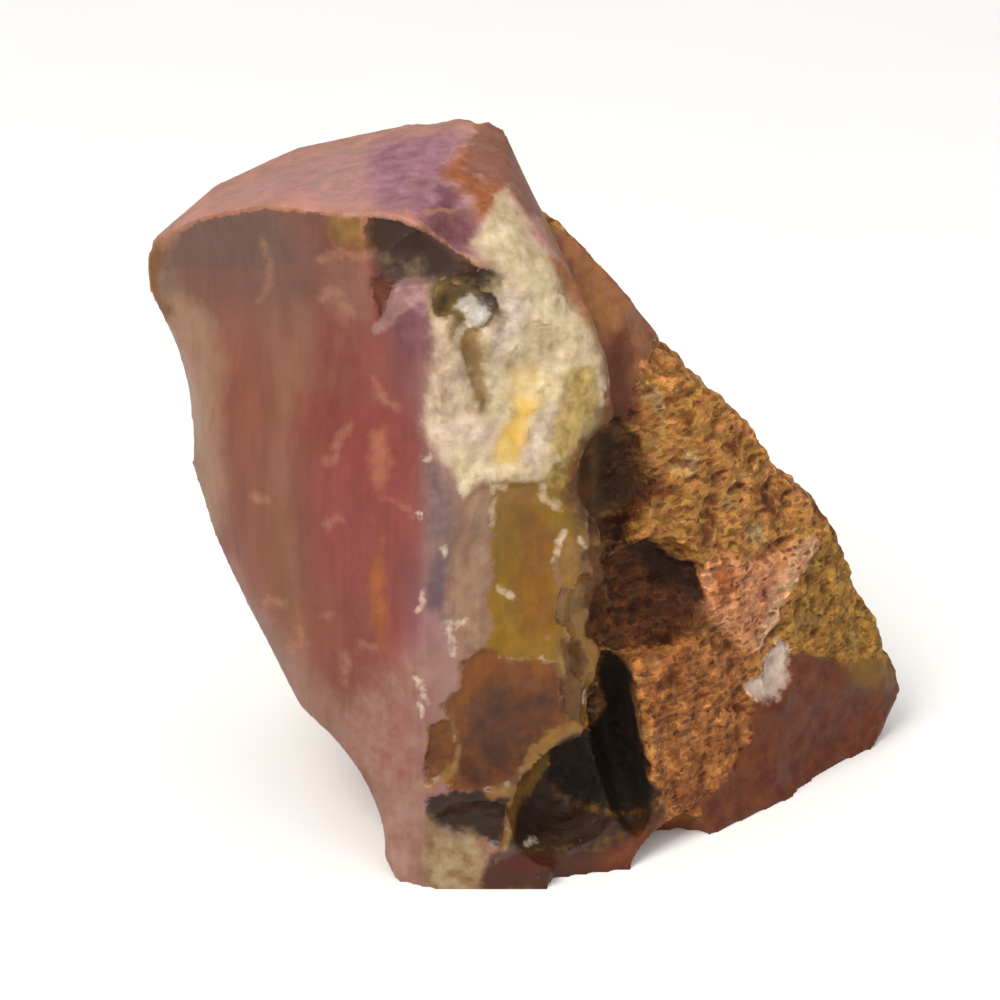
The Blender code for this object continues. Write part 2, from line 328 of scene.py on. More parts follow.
def strike(block, name, flakes, fineness):
    """Takes every flake out of the skin nearest to it, with one Boolean of a collection."""
    finder = skin_finder(block)
    strikes = bpy.data.collections.new(name)
    scene.collection.children.link(strikes)
    for number, (near, outward, size, depth, lean, dish) in enumerate(flakes):
        centre = finder.find_nearest(Vector(near))[0]
        shape = bmesh.new()
        add_flake(shape, centre, outward, size, depth, lean, dish, fineness)
        mesh = bpy.data.meshes.new(f"{name}_{number}")
        shape.to_mesh(mesh)
        shape.free()
        strikes.objects.link(bpy.data.objects.new(mesh.name, mesh))
    cut = block.modifiers.new(name, "BOOLEAN")
    cut.operation = "DIFFERENCE"
    cut.operand_type = "COLLECTION"
    cut.collection = strikes
    return strikes


fuse = core_billet.modifiers.new("fuse", "BOOLEAN")
fuse.operation = "UNION"
fuse.object = crust_billet
large = [(near, direction(*facing), size, depth, lean, dish)
         for _, near, facing, size, depth, lean, dish in SPALLS]
large_strikes = strike(core_billet, "large_strikes", large, SPALL_FINENESS)
print("large spalls:", len(large))

# %% [markdown]
# ## Chips along the edges
# The thin edges of agate never stay clean. Small flakes jump off wherever the stone is knocked, most of
# all on the ridge between the glossy scars and the crust. They are the same ellipsoids, only 1 to 2 mm
# wide, thrown along each edge with a seeded random hand, so that every run chips the block alike.

# %% Chip the edges
EDGES = {
    "ridge": {
        "corners": ("ridge_high", "ridge_bend", "ridge_brow", "ridge_middle", "ridge_low", "ridge_hem"),
        "facing": (28, 8), "flakes": 26, "width": (0.8, 2.2), "depth": (0.1, 0.32),
    },
    "spine": {
        "corners": ("spine_top", "foot_middle"),
        "facing": (-10, 0), "flakes": 16, "width": (0.9, 1.8), "depth": (0.15, 0.3),
    },
    "lip": {
        "corners": ("lip_left", "lip_middle", "lip_right", "spine_top"),
        "facing": (-30, 30), "flakes": 12, "width": (0.9, 2.0), "depth": (0.1, 0.25),
    },
}
CHIP_SEED = 11
CHIP_FINENESS = 2
CHIP_STRETCH = (0.9, 2.0)
CHIP_TURN = 28
CHIP_TILT = 22
CHIP_LEAN = 40
CHIP_DISH = 2.2


def point_along(line, share):
    """The point that lies that share of the way along a line of points."""
    legs = [(end - start).length for start, end in zip(line, line[1:])]
    distance = share * sum(legs)
    for start, end, leg in zip(line, line[1:], legs):
        if distance <= leg:
            return start.lerp(end, distance / leg)
        distance -= leg
    return line[-1]


def edge_flakes(hand, corners, facing, flakes, width, depth):
    """Small flakes thrown between named corners, each turned a little from the way the edge faces."""
    line = [Vector(CORE_CORNERS[name]) for name in corners]
    made = []
    for _ in range(flakes):
        across = hand.uniform(*width)
        tall = across * hand.uniform(*CHIP_STRETCH)
        turn = facing[0] + hand.uniform(-CHIP_TURN, CHIP_TURN)
        tilt = facing[1] + hand.uniform(-CHIP_TILT, CHIP_TILT)
        near = point_along(line, hand.uniform(0, 1))
        deep = hand.uniform(*depth)
        lean = hand.uniform(-CHIP_LEAN, CHIP_LEAN)
        made.append((near, direction(turn, tilt), (across, tall), deep, lean, CHIP_DISH))
    return made


hand = np.random.default_rng(CHIP_SEED)
small = [flake for edge in EDGES.values() for flake in edge_flakes(hand, **edge)]
small_strikes = strike(core_billet, "small_strikes", small, CHIP_FINENESS)
print("edge flakes:", len(small))

# %% [markdown]
# ## One skin
# The cut block has exact but uneven faces. A voxel remesh lays an even grid of small quads over it, which
# is what the weathering needs: something to move everywhere. A finer grid shows finer grains and costs
# memory, so the size is picked to stay under 200,000 triangles. The billets and cutters have then done
# their work.

# %% Lay an even skin over the cut block
SKIN = 0.31

grid = core_billet.modifiers.new("grid", "REMESH")
grid.mode = "VOXEL"
grid.voxel_size = SKIN
bpy.context.view_layer.update()
graph = bpy.context.evaluated_depsgraph_get()
skin = bpy.data.meshes.new_from_object(core_billet.evaluated_get(graph), depsgraph=graph)
for strikes in (large_strikes, small_strikes):
    for cutter in list(strikes.objects):
        bpy.data.objects.remove(cutter)
    bpy.data.collections.remove(strikes)
for billet in (core_billet, crust_billet):
    bpy.data.objects.remove(billet)

points = np.empty(len(skin.vertices) * 3, np.float32)
skin.vertices.foreach_get("co", points)
points = points.reshape(-1, 3).astype(float)
edges = np.empty(len(skin.edges) * 2, np.int32)
skin.edges.foreach_get("vertices", edges)
edges = edges.reshape(-1, 2)
print("skin points:", len(points), "quads:", len(skin.polygons))

# %% [markdown]
# ## Ease the weathered faces
# Fresh scars keep crisp rims, but the long left face and the old back have been rubbed for ages. Each
# pass below moves a point halfway to the mean of its neighbours, and the number of passes follows from
# how far, in mm, the rubbing has reached. It is done with whole arrays, because a loop over a hundred
# thousand points would take minutes. The weights say where the stone is worn.

# %% Ease the left face and the back
SPINE = -8.0
SPINE_MARGIN = (0.8, 2.0)
LEFT_FACE = (-34, 0)
LEFT_FACING = (0.84, 0.9)
BACK_FACING = (0.58, 0.64)
KEPT_FOOT = (0.6, 1.6)
BASE_RIM = (0.1, 0.4)
EASE_REACH = 3.7


def eased(points, reach, weights=1.0):
    """The points after they have moved towards their neighbours in passes, over that reach in mm."""
    first, second = edges[:, 0], edges[:, 1]
    neighbours = np.bincount(edges.ravel(), minlength=len(points))
    moved = points.copy()
    for _ in range(round((reach / SKIN) ** 2)):
        for axis in range(3):
            total = np.bincount(first, moved[second, axis], len(points))
            total += np.bincount(second, moved[first, axis], len(points))
            moved[:, axis] += weights * 0.5 * (total / neighbours - moved[:, axis])
    return moved


def outward_normals(points):
    """The normal of every point, as the mesh stands now."""
    skin.vertices.foreach_set("co", points.astype(np.float32).ravel())
    skin.update()
    normals = np.empty(len(points) * 3, np.float32)
    skin.vertex_normals.foreach_get("vector", normals)
    return normals.reshape(-1, 3).astype(float)


def smooth_step(low, high, values):
    """0 below the low value, 1 above the high one, and an even curve between them."""
    share = np.clip((values - low) / (high - low), 0.0, 1.0)
    return share * share * (3 - 2 * share)


normals = outward_normals(points)
left_face = smooth_step(*LEFT_FACING, normals @ np.array(direction(*LEFT_FACE)))
left_face *= smooth_step(*SPINE_MARGIN, SPINE - points[:, 0])
back = smooth_step(*BACK_FACING, normals[:, 1])
worn = np.maximum(left_face, back) * smooth_step(*KEPT_FOOT, points[:, 2])
points = eased(points, EASE_REACH, worn)
points = eased(points, SKIN, smooth_step(*BASE_RIM, points[:, 2]))
print("worn share of the skin:", round(float(worn.mean()), 2))

# %% [markdown]
# ## Where the crust lies
# The crust starts behind the ridge, wraps round the back, and is missing on the corner that broke off
# last. The same few numbers decide it here and in the solid block. Everything that follows, the grains,
# the dull shine and the ochre colours, asks this one field how crusty a point is.

# %% Mark the crust
CORE_BULGE = {"left": -11.5, "width": 15.5, "height": 26.0, "half_height": 28.0}
CORE_EDGE_TURN = 0.25
CORE_EDGE_Y = -9.6
RIGHT_BEGINS = (0.2, 2.0)
FRESH_CORNER = (21.5, 1.4, 3.6)
FRESH_REACH = (8.0, 8.0, 5.0)
FRESH_EDGE = (0.75, 1.15)
BACK_BEGINS = (3.4, 8.4)
BACK_LEAN = 0.12
BARE_FOOT = (0.3, 2.0)


def crust_fields(points):
    """How crusty each point is, and how far round the back it lies, both from 0 to 1."""
    x, y, z = points.T
    share = (z - CORE_BULGE["height"]) / CORE_BULGE["half_height"]
    core_edge = CORE_BULGE["left"] + CORE_BULGE["width"] * np.sqrt(np.clip(1 - share * share, 0, None))
    right = smooth_step(*RIGHT_BEGINS, x - core_edge + CORE_EDGE_TURN * (y - CORE_EDGE_Y))
    behind = smooth_step(*BACK_BEGINS, y - BACK_LEAN * (z - CORE_BULGE["height"]))
    from_corner = np.linalg.norm((points - FRESH_CORNER) / FRESH_REACH, axis=1)
    old_corner = smooth_step(*FRESH_EDGE, from_corner)
    return np.maximum(right, behind) * old_corner * smooth_step(*BARE_FOOT, z), behind


crust, behind = crust_fields(points)
print("crust share of the skin:", round(float(crust.mean()), 2))

# %% [markdown]
# ## The patches of the stone
# The colours of agate come in bodies with clear outlines: a cream face, an ochre scar, a lilac band. They
# could be painted on an unwrapped image, but outlines stay sharp at any size and can be changed one by
# one. Each is outlined as it is seen from the camera, in millimetres to the right of the camera's target
# and above it. Before its points stand the face that it lies on, the front, the flat top or any, and how
# deep it is sunk. Thin things, such as a pale crescent or a worn rim, are drawn as lines, each with half
# its width. Inside some patches the crust is rubbed or broken away, so it is calmed there by the share
# given.

# %% Outline the patches
PATCHES = {
    # The long left face, from the cap to the foot.
    # The cap's dark cocoa is partly its own colour and partly painted shade under the overhanging lip.
    "cap": ("front", 0, (
        (-26, 22), (-14.5, 22.5), (-14, 18), (-14, 13.5), (-18, 12.5), (-22.5, 14), (-26, 13))),
    "cap_side": ("front", 0, (
        (-14.5, 21.5), (-12, 21), (-12.5, 17.5), (-12.5, 14.5), (-16.5, 15), (-15.5, 17.5))),
    "tan_band": ("front", 0, (
        (-12, 21.5), (-9.5, 21.5), (-9.5, 17.5), (-11, 18), (-12, 18.5), (-12.5, 20))),
    "bracket": ("front", 0, (
        (-12.5, 17), (-9.5, 17.5), (-9, 15.5), (-9, 13), (-10.5, 12.5), (-12.5, 14))),
    # A painted highlight: the pale strip along the rounded left edge.
    "pale_edge": ("front", 0, (
        (-24, 14.5), (-22.5, 14.5), (-20.5, 13), (-20, 10.5), (-20, 4), (-19.5, 1), (-20.5, -3),
        (-23, -3), (-26, 8))),
    "brick": ("front", 0, (
        (-20, 14), (-15, 14), (-15, 7), (-14.5, 1.5), (-15, -2), (-19.5, 0), (-20, 7))),
    "grey_streak": ("front", 0, ((-14.5, 14), (-13, 14), (-13, 9.5), (-13.5, 7.5), (-14.5, 8))),
    "brown_fibre": ("front", 0, (
        (-16.5, 0), (-14, 0), (-13.5, -5), (-13.5, -9), (-14.5, -10.5), (-16, -8), (-17, -4))),
    "maroon": ("front", 0, (
        (-13, 14), (-9, 13), (-7.5, 12), (-5.5, 10), (-5.5, 3), (-5, -4.5), (-6, -7), (-7, -10),
        (-9.5, -13), (-11, -14), (-12.5, -13.5), (-14, -10), (-14, -4.5), (-14.5, 3), (-13.5, 7))),
    "rose": ("front", 0, (
        (-11, 6), (-7, 6.5), (-6, 3), (-6, -2), (-7.5, -4), (-9.5, -6.5), (-12.5, -5), (-13, -1),
        (-12.5, 3))),
    "foot_mauve": ("front", 0, (
        (-11, -14.5), (-9, -13.5), (-7, -11), (-5, -10), (-4, -11.5), (-4.5, -14), (-5, -17), (-5, -24),
        (-6, -28), (-7.5, -28), (-8.5, -24), (-9.5, -20.5), (-10.5, -17.5))),
    "foot_pink": ("front", 0, ((-8.5, -21), (-5.5, -20.5), (-5, -23), (-5.5, -28), (-8, -28), (-9, -24))),
    "left_rim": ("front", 0, (
        (-21, -4.5), (-19, -4.5), (-17, -8), (-15.5, -10), (-12.5, -13.5), (-11, -15), (-9.5, -17.5),
        (-8, -20.5), (-7.5, -28), (-12, -28), (-20, -16))),
    "flame_high": ("front", 0, ((-9, 5), (-8.2, 5), (-8.2, 2.5), (-8.5, 1), (-9, 3))),
    "flame_low": ("front", 0, ((-9.2, -5.5), (-8.5, -3.2), (-8.2, -4.5), (-8.2, -10.5), (-9, -9))),
    "violet": ("front", 0, (
        (-5.2, 2.5), (-3.8, 2), (-3, 0), (-2.8, -2), (-3.5, -4.2), (-3.8, -7), (-4.2, -8.5), (-5, -8),
        (-5.2, -4.5), (-5.2, 0))),
    "violet_heart": ("front", 0, ((-5, -4), (-4, -4), (-3.8, -6.5), (-4.2, -8), (-5, -7.5))),
    "purple": ("front", 0, (
        (-7, 13.5), (-5.8, 14.2), (-5, 13.5), (-4.5, 12), (-4.5, 10.2), (-5.2, 10), (-7, 10.8),
        (-7.5, 12))),
    # The cream face, and what hangs under the lip.
    "cream_face": ("front", 0, (
        (-1.5, 18.2), (0, 22), (1, 21), (2.2, 18.2), (3.5, 17), (6, 13.2), (7.2, 11), (7.5, 9.5),
        (7.5, 7), (7, 5.5), (5.8, 4.2), (4.8, 2.8), (4, 2.2), (3, 1.2), (-1.5, 1.2), (-2.5, -0.2),
        (-3.2, 1.8), (-4, 3.2), (-5, 4.8), (-5.5, 5.8), (-4.5, 9.8), (-4.5, 12), (-5.2, 15.5), (-3, 15.5),
        (0, 16.5))),
    "lilac_patch": ("front", 0.1, (
        (-0.5, 14.5), (1, 15), (2, 14.2), (1.8, 12.8), (1.2, 11.5), (-0.2, 9.8), (-0.8, 10.8),
        (-0.5, 12.5))),
    "grey_cheek": ("front", 0, (
        (-4.5, 13), (-3.5, 12.8), (-3, 11), (-2.2, 10), (-2, 7.5), (-2.5, 6.2), (-4, 5.8), (-5.2, 5.8),
        (-4.5, 9.8))),
    "white_patch": ("front", -0.1, (
        (-5.5, 5.8), (-3.5, 5.5), (-2.5, 6.2), (-1.5, 5.8), (0, 5.8), (-0.2, 4.2), (-1.5, 3.8), (-3.2, 4),
        (-3.8, 3), (-4.2, 3.5), (-5, 4.8))),
    "straw_patch": ("front", 0, ((0.5, 9), (2.2, 9.5), (4.2, 8.2), (3.8, 7.5), (2.5, 6.5), (0.8, 6.5))),
    "yellow_patch": ("front", 0.1, (
        (-0.2, 2.5), (-0.2, 3.8), (0.2, 5), (1, 6), (1.2, 7.2), (2.8, 7), (2.2, 5.8), (2, 4.2),
        (1.5, 3.2), (0.8, 2.5))),
    "grey_patch": ("front", 0.15, (
        (2.2, 5.5), (3, 6.5), (4.2, 7), (4.5, 6), (3.5, 4), (3.2, 2.8), (2.8, 2), (1.8, 2.2), (1.5, 2.8),
        (1.8, 4))),
    "olive_ridge": ("front", 0, (
        (4.5, 7.5), (4.2, 8.8), (5.2, 9.5), (6.5, 9.5), (7.2, 9), (7.5, 7.2), (7.2, 6), (5.5, 3.8),
        (4.8, 2.8), (4.8, 0.2), (5.8, -1), (4.2, -0.8), (3.5, 0), (3.2, 1.5), (3.5, 3), (4.2, 6))),
    "skirt": ("any", 0, (
        (-2, 18.2), (-1.2, 19.2), (0, 21.5), (0.5, 22), (1.2, 20.8), (2.2, 18.5), (3.2, 17.2), (3.5, 16),
        (0, 16.5))),
    # The recess and its floor are darkened with painted shade under the lip.
    "recess": ("front", 0.5, (
        (-9.5, 21), (-6, 20), (-4.5, 18.5), (-3.2, 17.5), (-1.5, 17.2), (0.2, 16.5), (0.2, 15.8),
        (-0.8, 15.2), (-2, 15), (-3, 15.5), (-9, 15.5))),
    "recess_floor": ("front", 0, (
        (-9, 17.2), (-7, 17), (-5.5, 17), (-5.2, 15.5), (-7.2, 15.8), (-9, 16))),
    # The red slab is partly its own oxblood and partly painted shade on the recess's inner wall.
    "red_slab": ("front", 0.45, (
        (-9, 15.8), (-7.2, 15.5), (-7.8, 15), (-8.2, 14), (-8.5, 12.8), (-9, 12.8))),
    "pink_wedge": ("front", 0, (
        (-7.2, 15.5), (-5.2, 15.8), (-5.2, 14.5), (-6, 14), (-6.8, 13.5), (-8.2, 12.2), (-9, 12.2),
        (-8.2, 14))),
    "vug": ("front", 0.5, (
        (-5.2, 15.5), (-4.2, 15.8), (-3, 15.5), (-2, 15), (-0.8, 14.5), (-0.2, 13.5), (-0.5, 12.5),
        (-1.2, 12), (-2.2, 12.8), (-3.5, 13), (-4.5, 13.2), (-5, 14.2))),
    "vug_shade": ("front", 0.2, ((-1.8, 14.5), (-0.5, 14.2), (-0.2, 13.5), (-0.8, 12.5), (-1.5, 13))),
    "crystals": ("front", -0.25, (
        (-3.2, 13.8), (-2.8, 14.2), (-2.2, 14.5), (-1.8, 14), (-1, 13), (-1.5, 12.8), (-2.5, 13.5))),
    "vug_tail": ("front", 0.25, (
        (-3.5, 13), (-2.2, 13), (-1.2, 12), (-1.2, 9), (-0.8, 8), (-0.8, 6.2), (-1.5, 6.2), (-2, 7.5),
        (-2.2, 10), (-3, 11), (-3.5, 11.8))),
    # The glossy scars down the front.
    "scar": ("front", 0.3, (
        (-2.8, -0.5), (-2.2, 0.5), (-1.5, 1), (3, 1.2), (5.2, -0.5), (6.2, -2), (6.2, -6.8), (4.8, -9.2),
        (4, -11.5), (0, -11.2), (-2.5, -10.8), (-3.5, -8.5), (-3.8, -7), (-3.5, -4.2), (-2.8, -2.2))),
    "ochre": ("front", 0, (
        (-0.5, 1.2), (3, 1.2), (4.2, 0.8), (5.2, -0.5), (6.2, -1.8), (6.2, -3.2), (5, -2.8), (3.8, -4.8),
        (4.2, -6.5), (4.8, -9.2), (4, -11.5), (0, -11.2), (-0.8, -10.8), (-0.5, -9.2), (-0.8, -7),
        (-0.2, -4.2), (-0.5, -2.2))),
    "ochre_shade": ("front", 0, (
        (1.5, -1), (3, -1), (4, -3.5), (3.8, -5), (4.2, -7), (4.2, -9.5), (2, -10), (1.2, -7),
        (1.5, -4))),
    "ochre_top": ("front", 0, (
        (-0.2, 1), (3, 1.2), (3.5, 0), (2.8, -0.5), (1, 0), (0.2, -1.5), (-0.5, -0.5))),
    "pale_chip": ("front", -0.1, (
        (3.8, -4.5), (4.2, -3.2), (5.2, -2.8), (6.2, -2.8), (6.2, -6.8), (5.2, -8.5), (4.8, -9.2),
        (4.2, -6.5))),
    "amber": ("front", 0.3, (
        (-2.8, -11.5), (-1.8, -10.8), (0, -11.2), (1.5, -11.5), (4.2, -11.5), (4.5, -12.8), (4.8, -16),
        (3.8, -16.8), (2, -18.5), (0, -20.5), (-3.2, -21), (-4, -20), (-3.2, -19), (-3, -18),
        (-3.8, -15.8), (-4.2, -14.8), (-2.8, -13.5))),
    # Painted shade: the amber scar darkens towards its foot, where it curves under.
    "amber_foot": ("front", 0, (
        (0, -13.5), (4.2, -13.5), (4.5, -15.2), (3.8, -16.8), (2, -18.5), (0, -20.5), (-3.2, -21),
        (-3.2, -19), (-2.5, -16.5), (-1.8, -14.5))),
    "crescent": ("front", 0.35, (
        (-5, -16.5), (-4.5, -15.8), (-4, -15.5), (-3.5, -16.2), (-3.2, -17.2), (-3.2, -18.2),
        (-3.5, -19.2), (-4.2, -19.8), (-5.2, -20.5), (-5.2, -17.5))),
    "lobe": ("front", 0.4, (
        (4.8, -10), (6, -10.5), (6.5, -11.8), (6.8, -13), (7.2, -14.2), (6.8, -15.5), (6, -16.2),
        (4.8, -16.2), (4.5, -15.2), (4.5, -11.5))),
    # Painted shade on the undercut facet, which faces down.
    "dark_facet": ("front", 0.25, (
        (-5.2, -21.2), (-4.2, -21), (-2.2, -20.8), (1, -21.2), (0.8, -22.5), (0.2, -24.8), (-0.8, -24.5),
        (-1.8, -24), (-4.2, -23.2), (-5, -22.5))),
    "tan_foot": ("front", -0.1, (
        (-5, -23), (-4.2, -23.5), (-3.2, -24), (-1.8, -24), (-0.8, -24.8), (-1, -26), (-1.5, -28),
        (-5.5, -28), (-5.5, -25))),
    "foot_strip": ("front", 0, (
        (0.2, -24.8), (4.2, -25), (7.5, -24.5), (10, -23.2), (11.5, -22.5), (12.5, -24), (10, -28),
        (-1.5, -28), (-0.8, -25))),
    "foot_flame": ("front", 0, (
        (6.5, -26), (7.8, -24.5), (10, -23.2), (11.8, -22.2), (13, -23), (11, -26), (8, -28))),
    # The crust with its hollows, and the corner that broke off.
    "strip": ("front", 0, (
        (0.5, 22), (1, 21), (2.2, 18.2), (3.5, 17), (6, 13.2), (7.2, 11), (7.5, 9.5), (7.5, 7.2), (9, 6),
        (9.8, 8.5), (10.5, 10.5), (12, 12.5), (9, 18), (4, 22))),
    "strip_red": ("front", 0, ((7.5, 9.5), (8, 12), (9, 12), (9.5, 8), (10, 5.8), (8.5, 5.5), (7.2, 6))),
    # Painted shadow: the brow lies in the shadow of the ridge beside it.
    "brow": ("front", 0, (
        (4.8, 2.8), (5.8, 4), (7, 5.5), (6.5, 4.2), (6.5, -1.5), (6, -1.5), (5.2, -0.5), (4.8, 1))),
    # The hollows behind the ridge are darkened with painted shadow cast by the ridge.
    "high_hollow": ("front", 0.15, (
        (6.5, 4.2), (7.2, 5.2), (8, 5.5), (8.8, 4.8), (9.5, 3.5), (10, 2.2), (10, 0.5), (9, -0.5),
        (7.5, -1), (6.5, -1.5))),
    "hollow_neck": ("front", 0.2, ((6.5, -1.2), (8, -1), (9, -1), (9, -2.5), (7, -3), (6.2, -4))),
    "low_hollow": ("front", 0.4, (
        (6.8, -3.5), (7.8, -3), (10.8, -2.8), (11.2, -3.5), (12, -4.2), (13.5, -4.5), (14.2, -5.2),
        (14.5, -6.8), (14.8, -8), (15.2, -9), (14.2, -9.8), (10, -10.5), (7.2, -10.5), (6.2, -9),
        (6.5, -6))),
    "hollow_roof": ("front", 0, (
        (10, -3), (11.2, -3.5), (12, -4.2), (13.8, -4.8), (14.2, -6), (14.5, -7), (13, -6.5), (11, -5.5),
        (9.5, -4.5))),
    "ledge": ("front", -0.25, (
        (14.2, -5.2), (14.8, -4.5), (16.8, -4.2), (18.8, -4.2), (20.8, -3.2), (22, -3), (21.5, -4.2),
        (20, -7.2), (19.5, -8.5), (19.2, -10), (18.5, -11), (17.2, -11), (16.2, -10), (15.2, -8.8),
        (14.8, -7.5), (14.5, -6.5))),
    "ledge_red": ("front", 0, ((15.5, -4.8), (16.5, -5), (16.2, -6.5), (15.5, -7))),
    "low_rust": ("front", 0, (
        (8.5, -11), (9.5, -10), (14.2, -10), (15.2, -9.2), (17.2, -11), (18.5, -11), (18, -13.5),
        (18.5, -14.2), (18.2, -16.8), (17, -19), (15.8, -20.8), (14.2, -21.8), (14.8, -23.5), (11.5, -23),
        (11.2, -20.8), (10.2, -16), (9.8, -13.2))),
    "olive_flank": ("front", 0, (
        (21.8, -3.5), (23.2, -2.5), (25, -4), (27, -7), (28.5, -11), (28.5, -13), (26.5, -13.8),
        (24.8, -13.5), (24.2, -12), (21.5, -10.8), (20.2, -9.8), (20, -8.5), (20.5, -6.5))),
    "corner": ("front", 0.1, (
        (18.5, -14.5), (19.8, -14), (20.2, -12.8), (20.8, -11.5), (21.5, -11), (23.8, -11.5),
        (24.5, -12.2), (25, -13.5), (28.5, -13.5), (29, -16), (26, -20), (18.5, -22.5), (14.2, -24),
        (14.5, -21.8), (15.8, -20.8), (17.2, -19), (18.2, -16.8))),
    "corner_red": ("front", 0, (
        (18.5, -14.8), (20.2, -13.2), (21.5, -11.5), (23.2, -11.8), (23.5, -13.5), (21.8, -14.8),
        (21.5, -15.5), (19, -16))),
    "corner_chip": ("front", 0.2, (
        (19.2, -11.5), (19.8, -10.2), (20.2, -10), (20.5, -10.8), (20.5, -12), (20.2, -13.2), (19.8, -14),
        (19, -14.2), (18.2, -14), (18, -13.2), (18.8, -12.5))),
    # The cavity and its floor are painted near black and dark brown: painted shadow in the deep slot.
    "cavity": ("front", 0, (
        (7, -11.5), (7.2, -10.8), (8.5, -10.8), (9.5, -12.2), (10, -14.8), (10.2, -17.8), (10.8, -19.8),
        (11.2, -20.8), (10.8, -22), (9, -22.5), (6.5, -21.8), (4.2, -21), (3.2, -19.8), (3.2, -18),
        (5, -16.8), (6.5, -16.2), (7.2, -14.5), (6.8, -13.2))),
    "cavity_floor": ("front", 0, (
        (3.2, -18.2), (3.2, -19.8), (4.2, -21), (6.5, -21.8), (9, -22.5), (11.5, -22.2), (10, -23.2),
        (7.5, -24.8), (4.2, -25), (0.2, -25), (0.8, -22.5), (1.2, -21.5), (2.2, -20.8))),
    # The flat top.
    "top_pink": ("top", 0, ((-30, 10), (6, 10), (6, 30), (-30, 30))),
    "top_mauve": ("top", 0, (
        (-8.8, 25.5), (-4.2, 26), (-3, 26), (-4.2, 22.8), (-2.8, 21.5), (-1.8, 20.2), (-1.5, 18.5),
        (-2.8, 17.5), (-6, 19.8), (-8.5, 20.2), (-9, 22), (-9.2, 24.5))),
    "lip_mauve": ("any", 0, (
        (-6, 19.8), (-4.5, 18.5), (-3.2, 17.5), (-1.8, 17.8), (-1.2, 18.5), (-2, 20.2), (-4.2, 21))),
    "mauve_dark": ("top", 0, ((-4.5, 22.5), (-3.2, 22.5), (-2.8, 21.5), (-4, 20), (-4.5, 21))),
    "top_brown": ("any", 0.05, (
        (-1.8, 26), (-0.8, 27.5), (0.5, 27), (1.5, 25), (2.5, 23), (3.2, 21), (2, 20.2), (1, 21.5),
        (0.5, 22.2), (-1, 22.8), (-2.5, 24), (-2.2, 25.2))),
    "top_flame": ("any", 0, (
        (-4, 23), (-3.5, 24), (-2.8, 25), (-2.2, 24.8), (-2.5, 23.8), (-1.5, 23), (0, 22.5), (0.8, 21.8),
        (0, 21), (-0.8, 19.8), (-1.5, 20.2), (-2.2, 21.8), (-3.2, 22.5))),
}
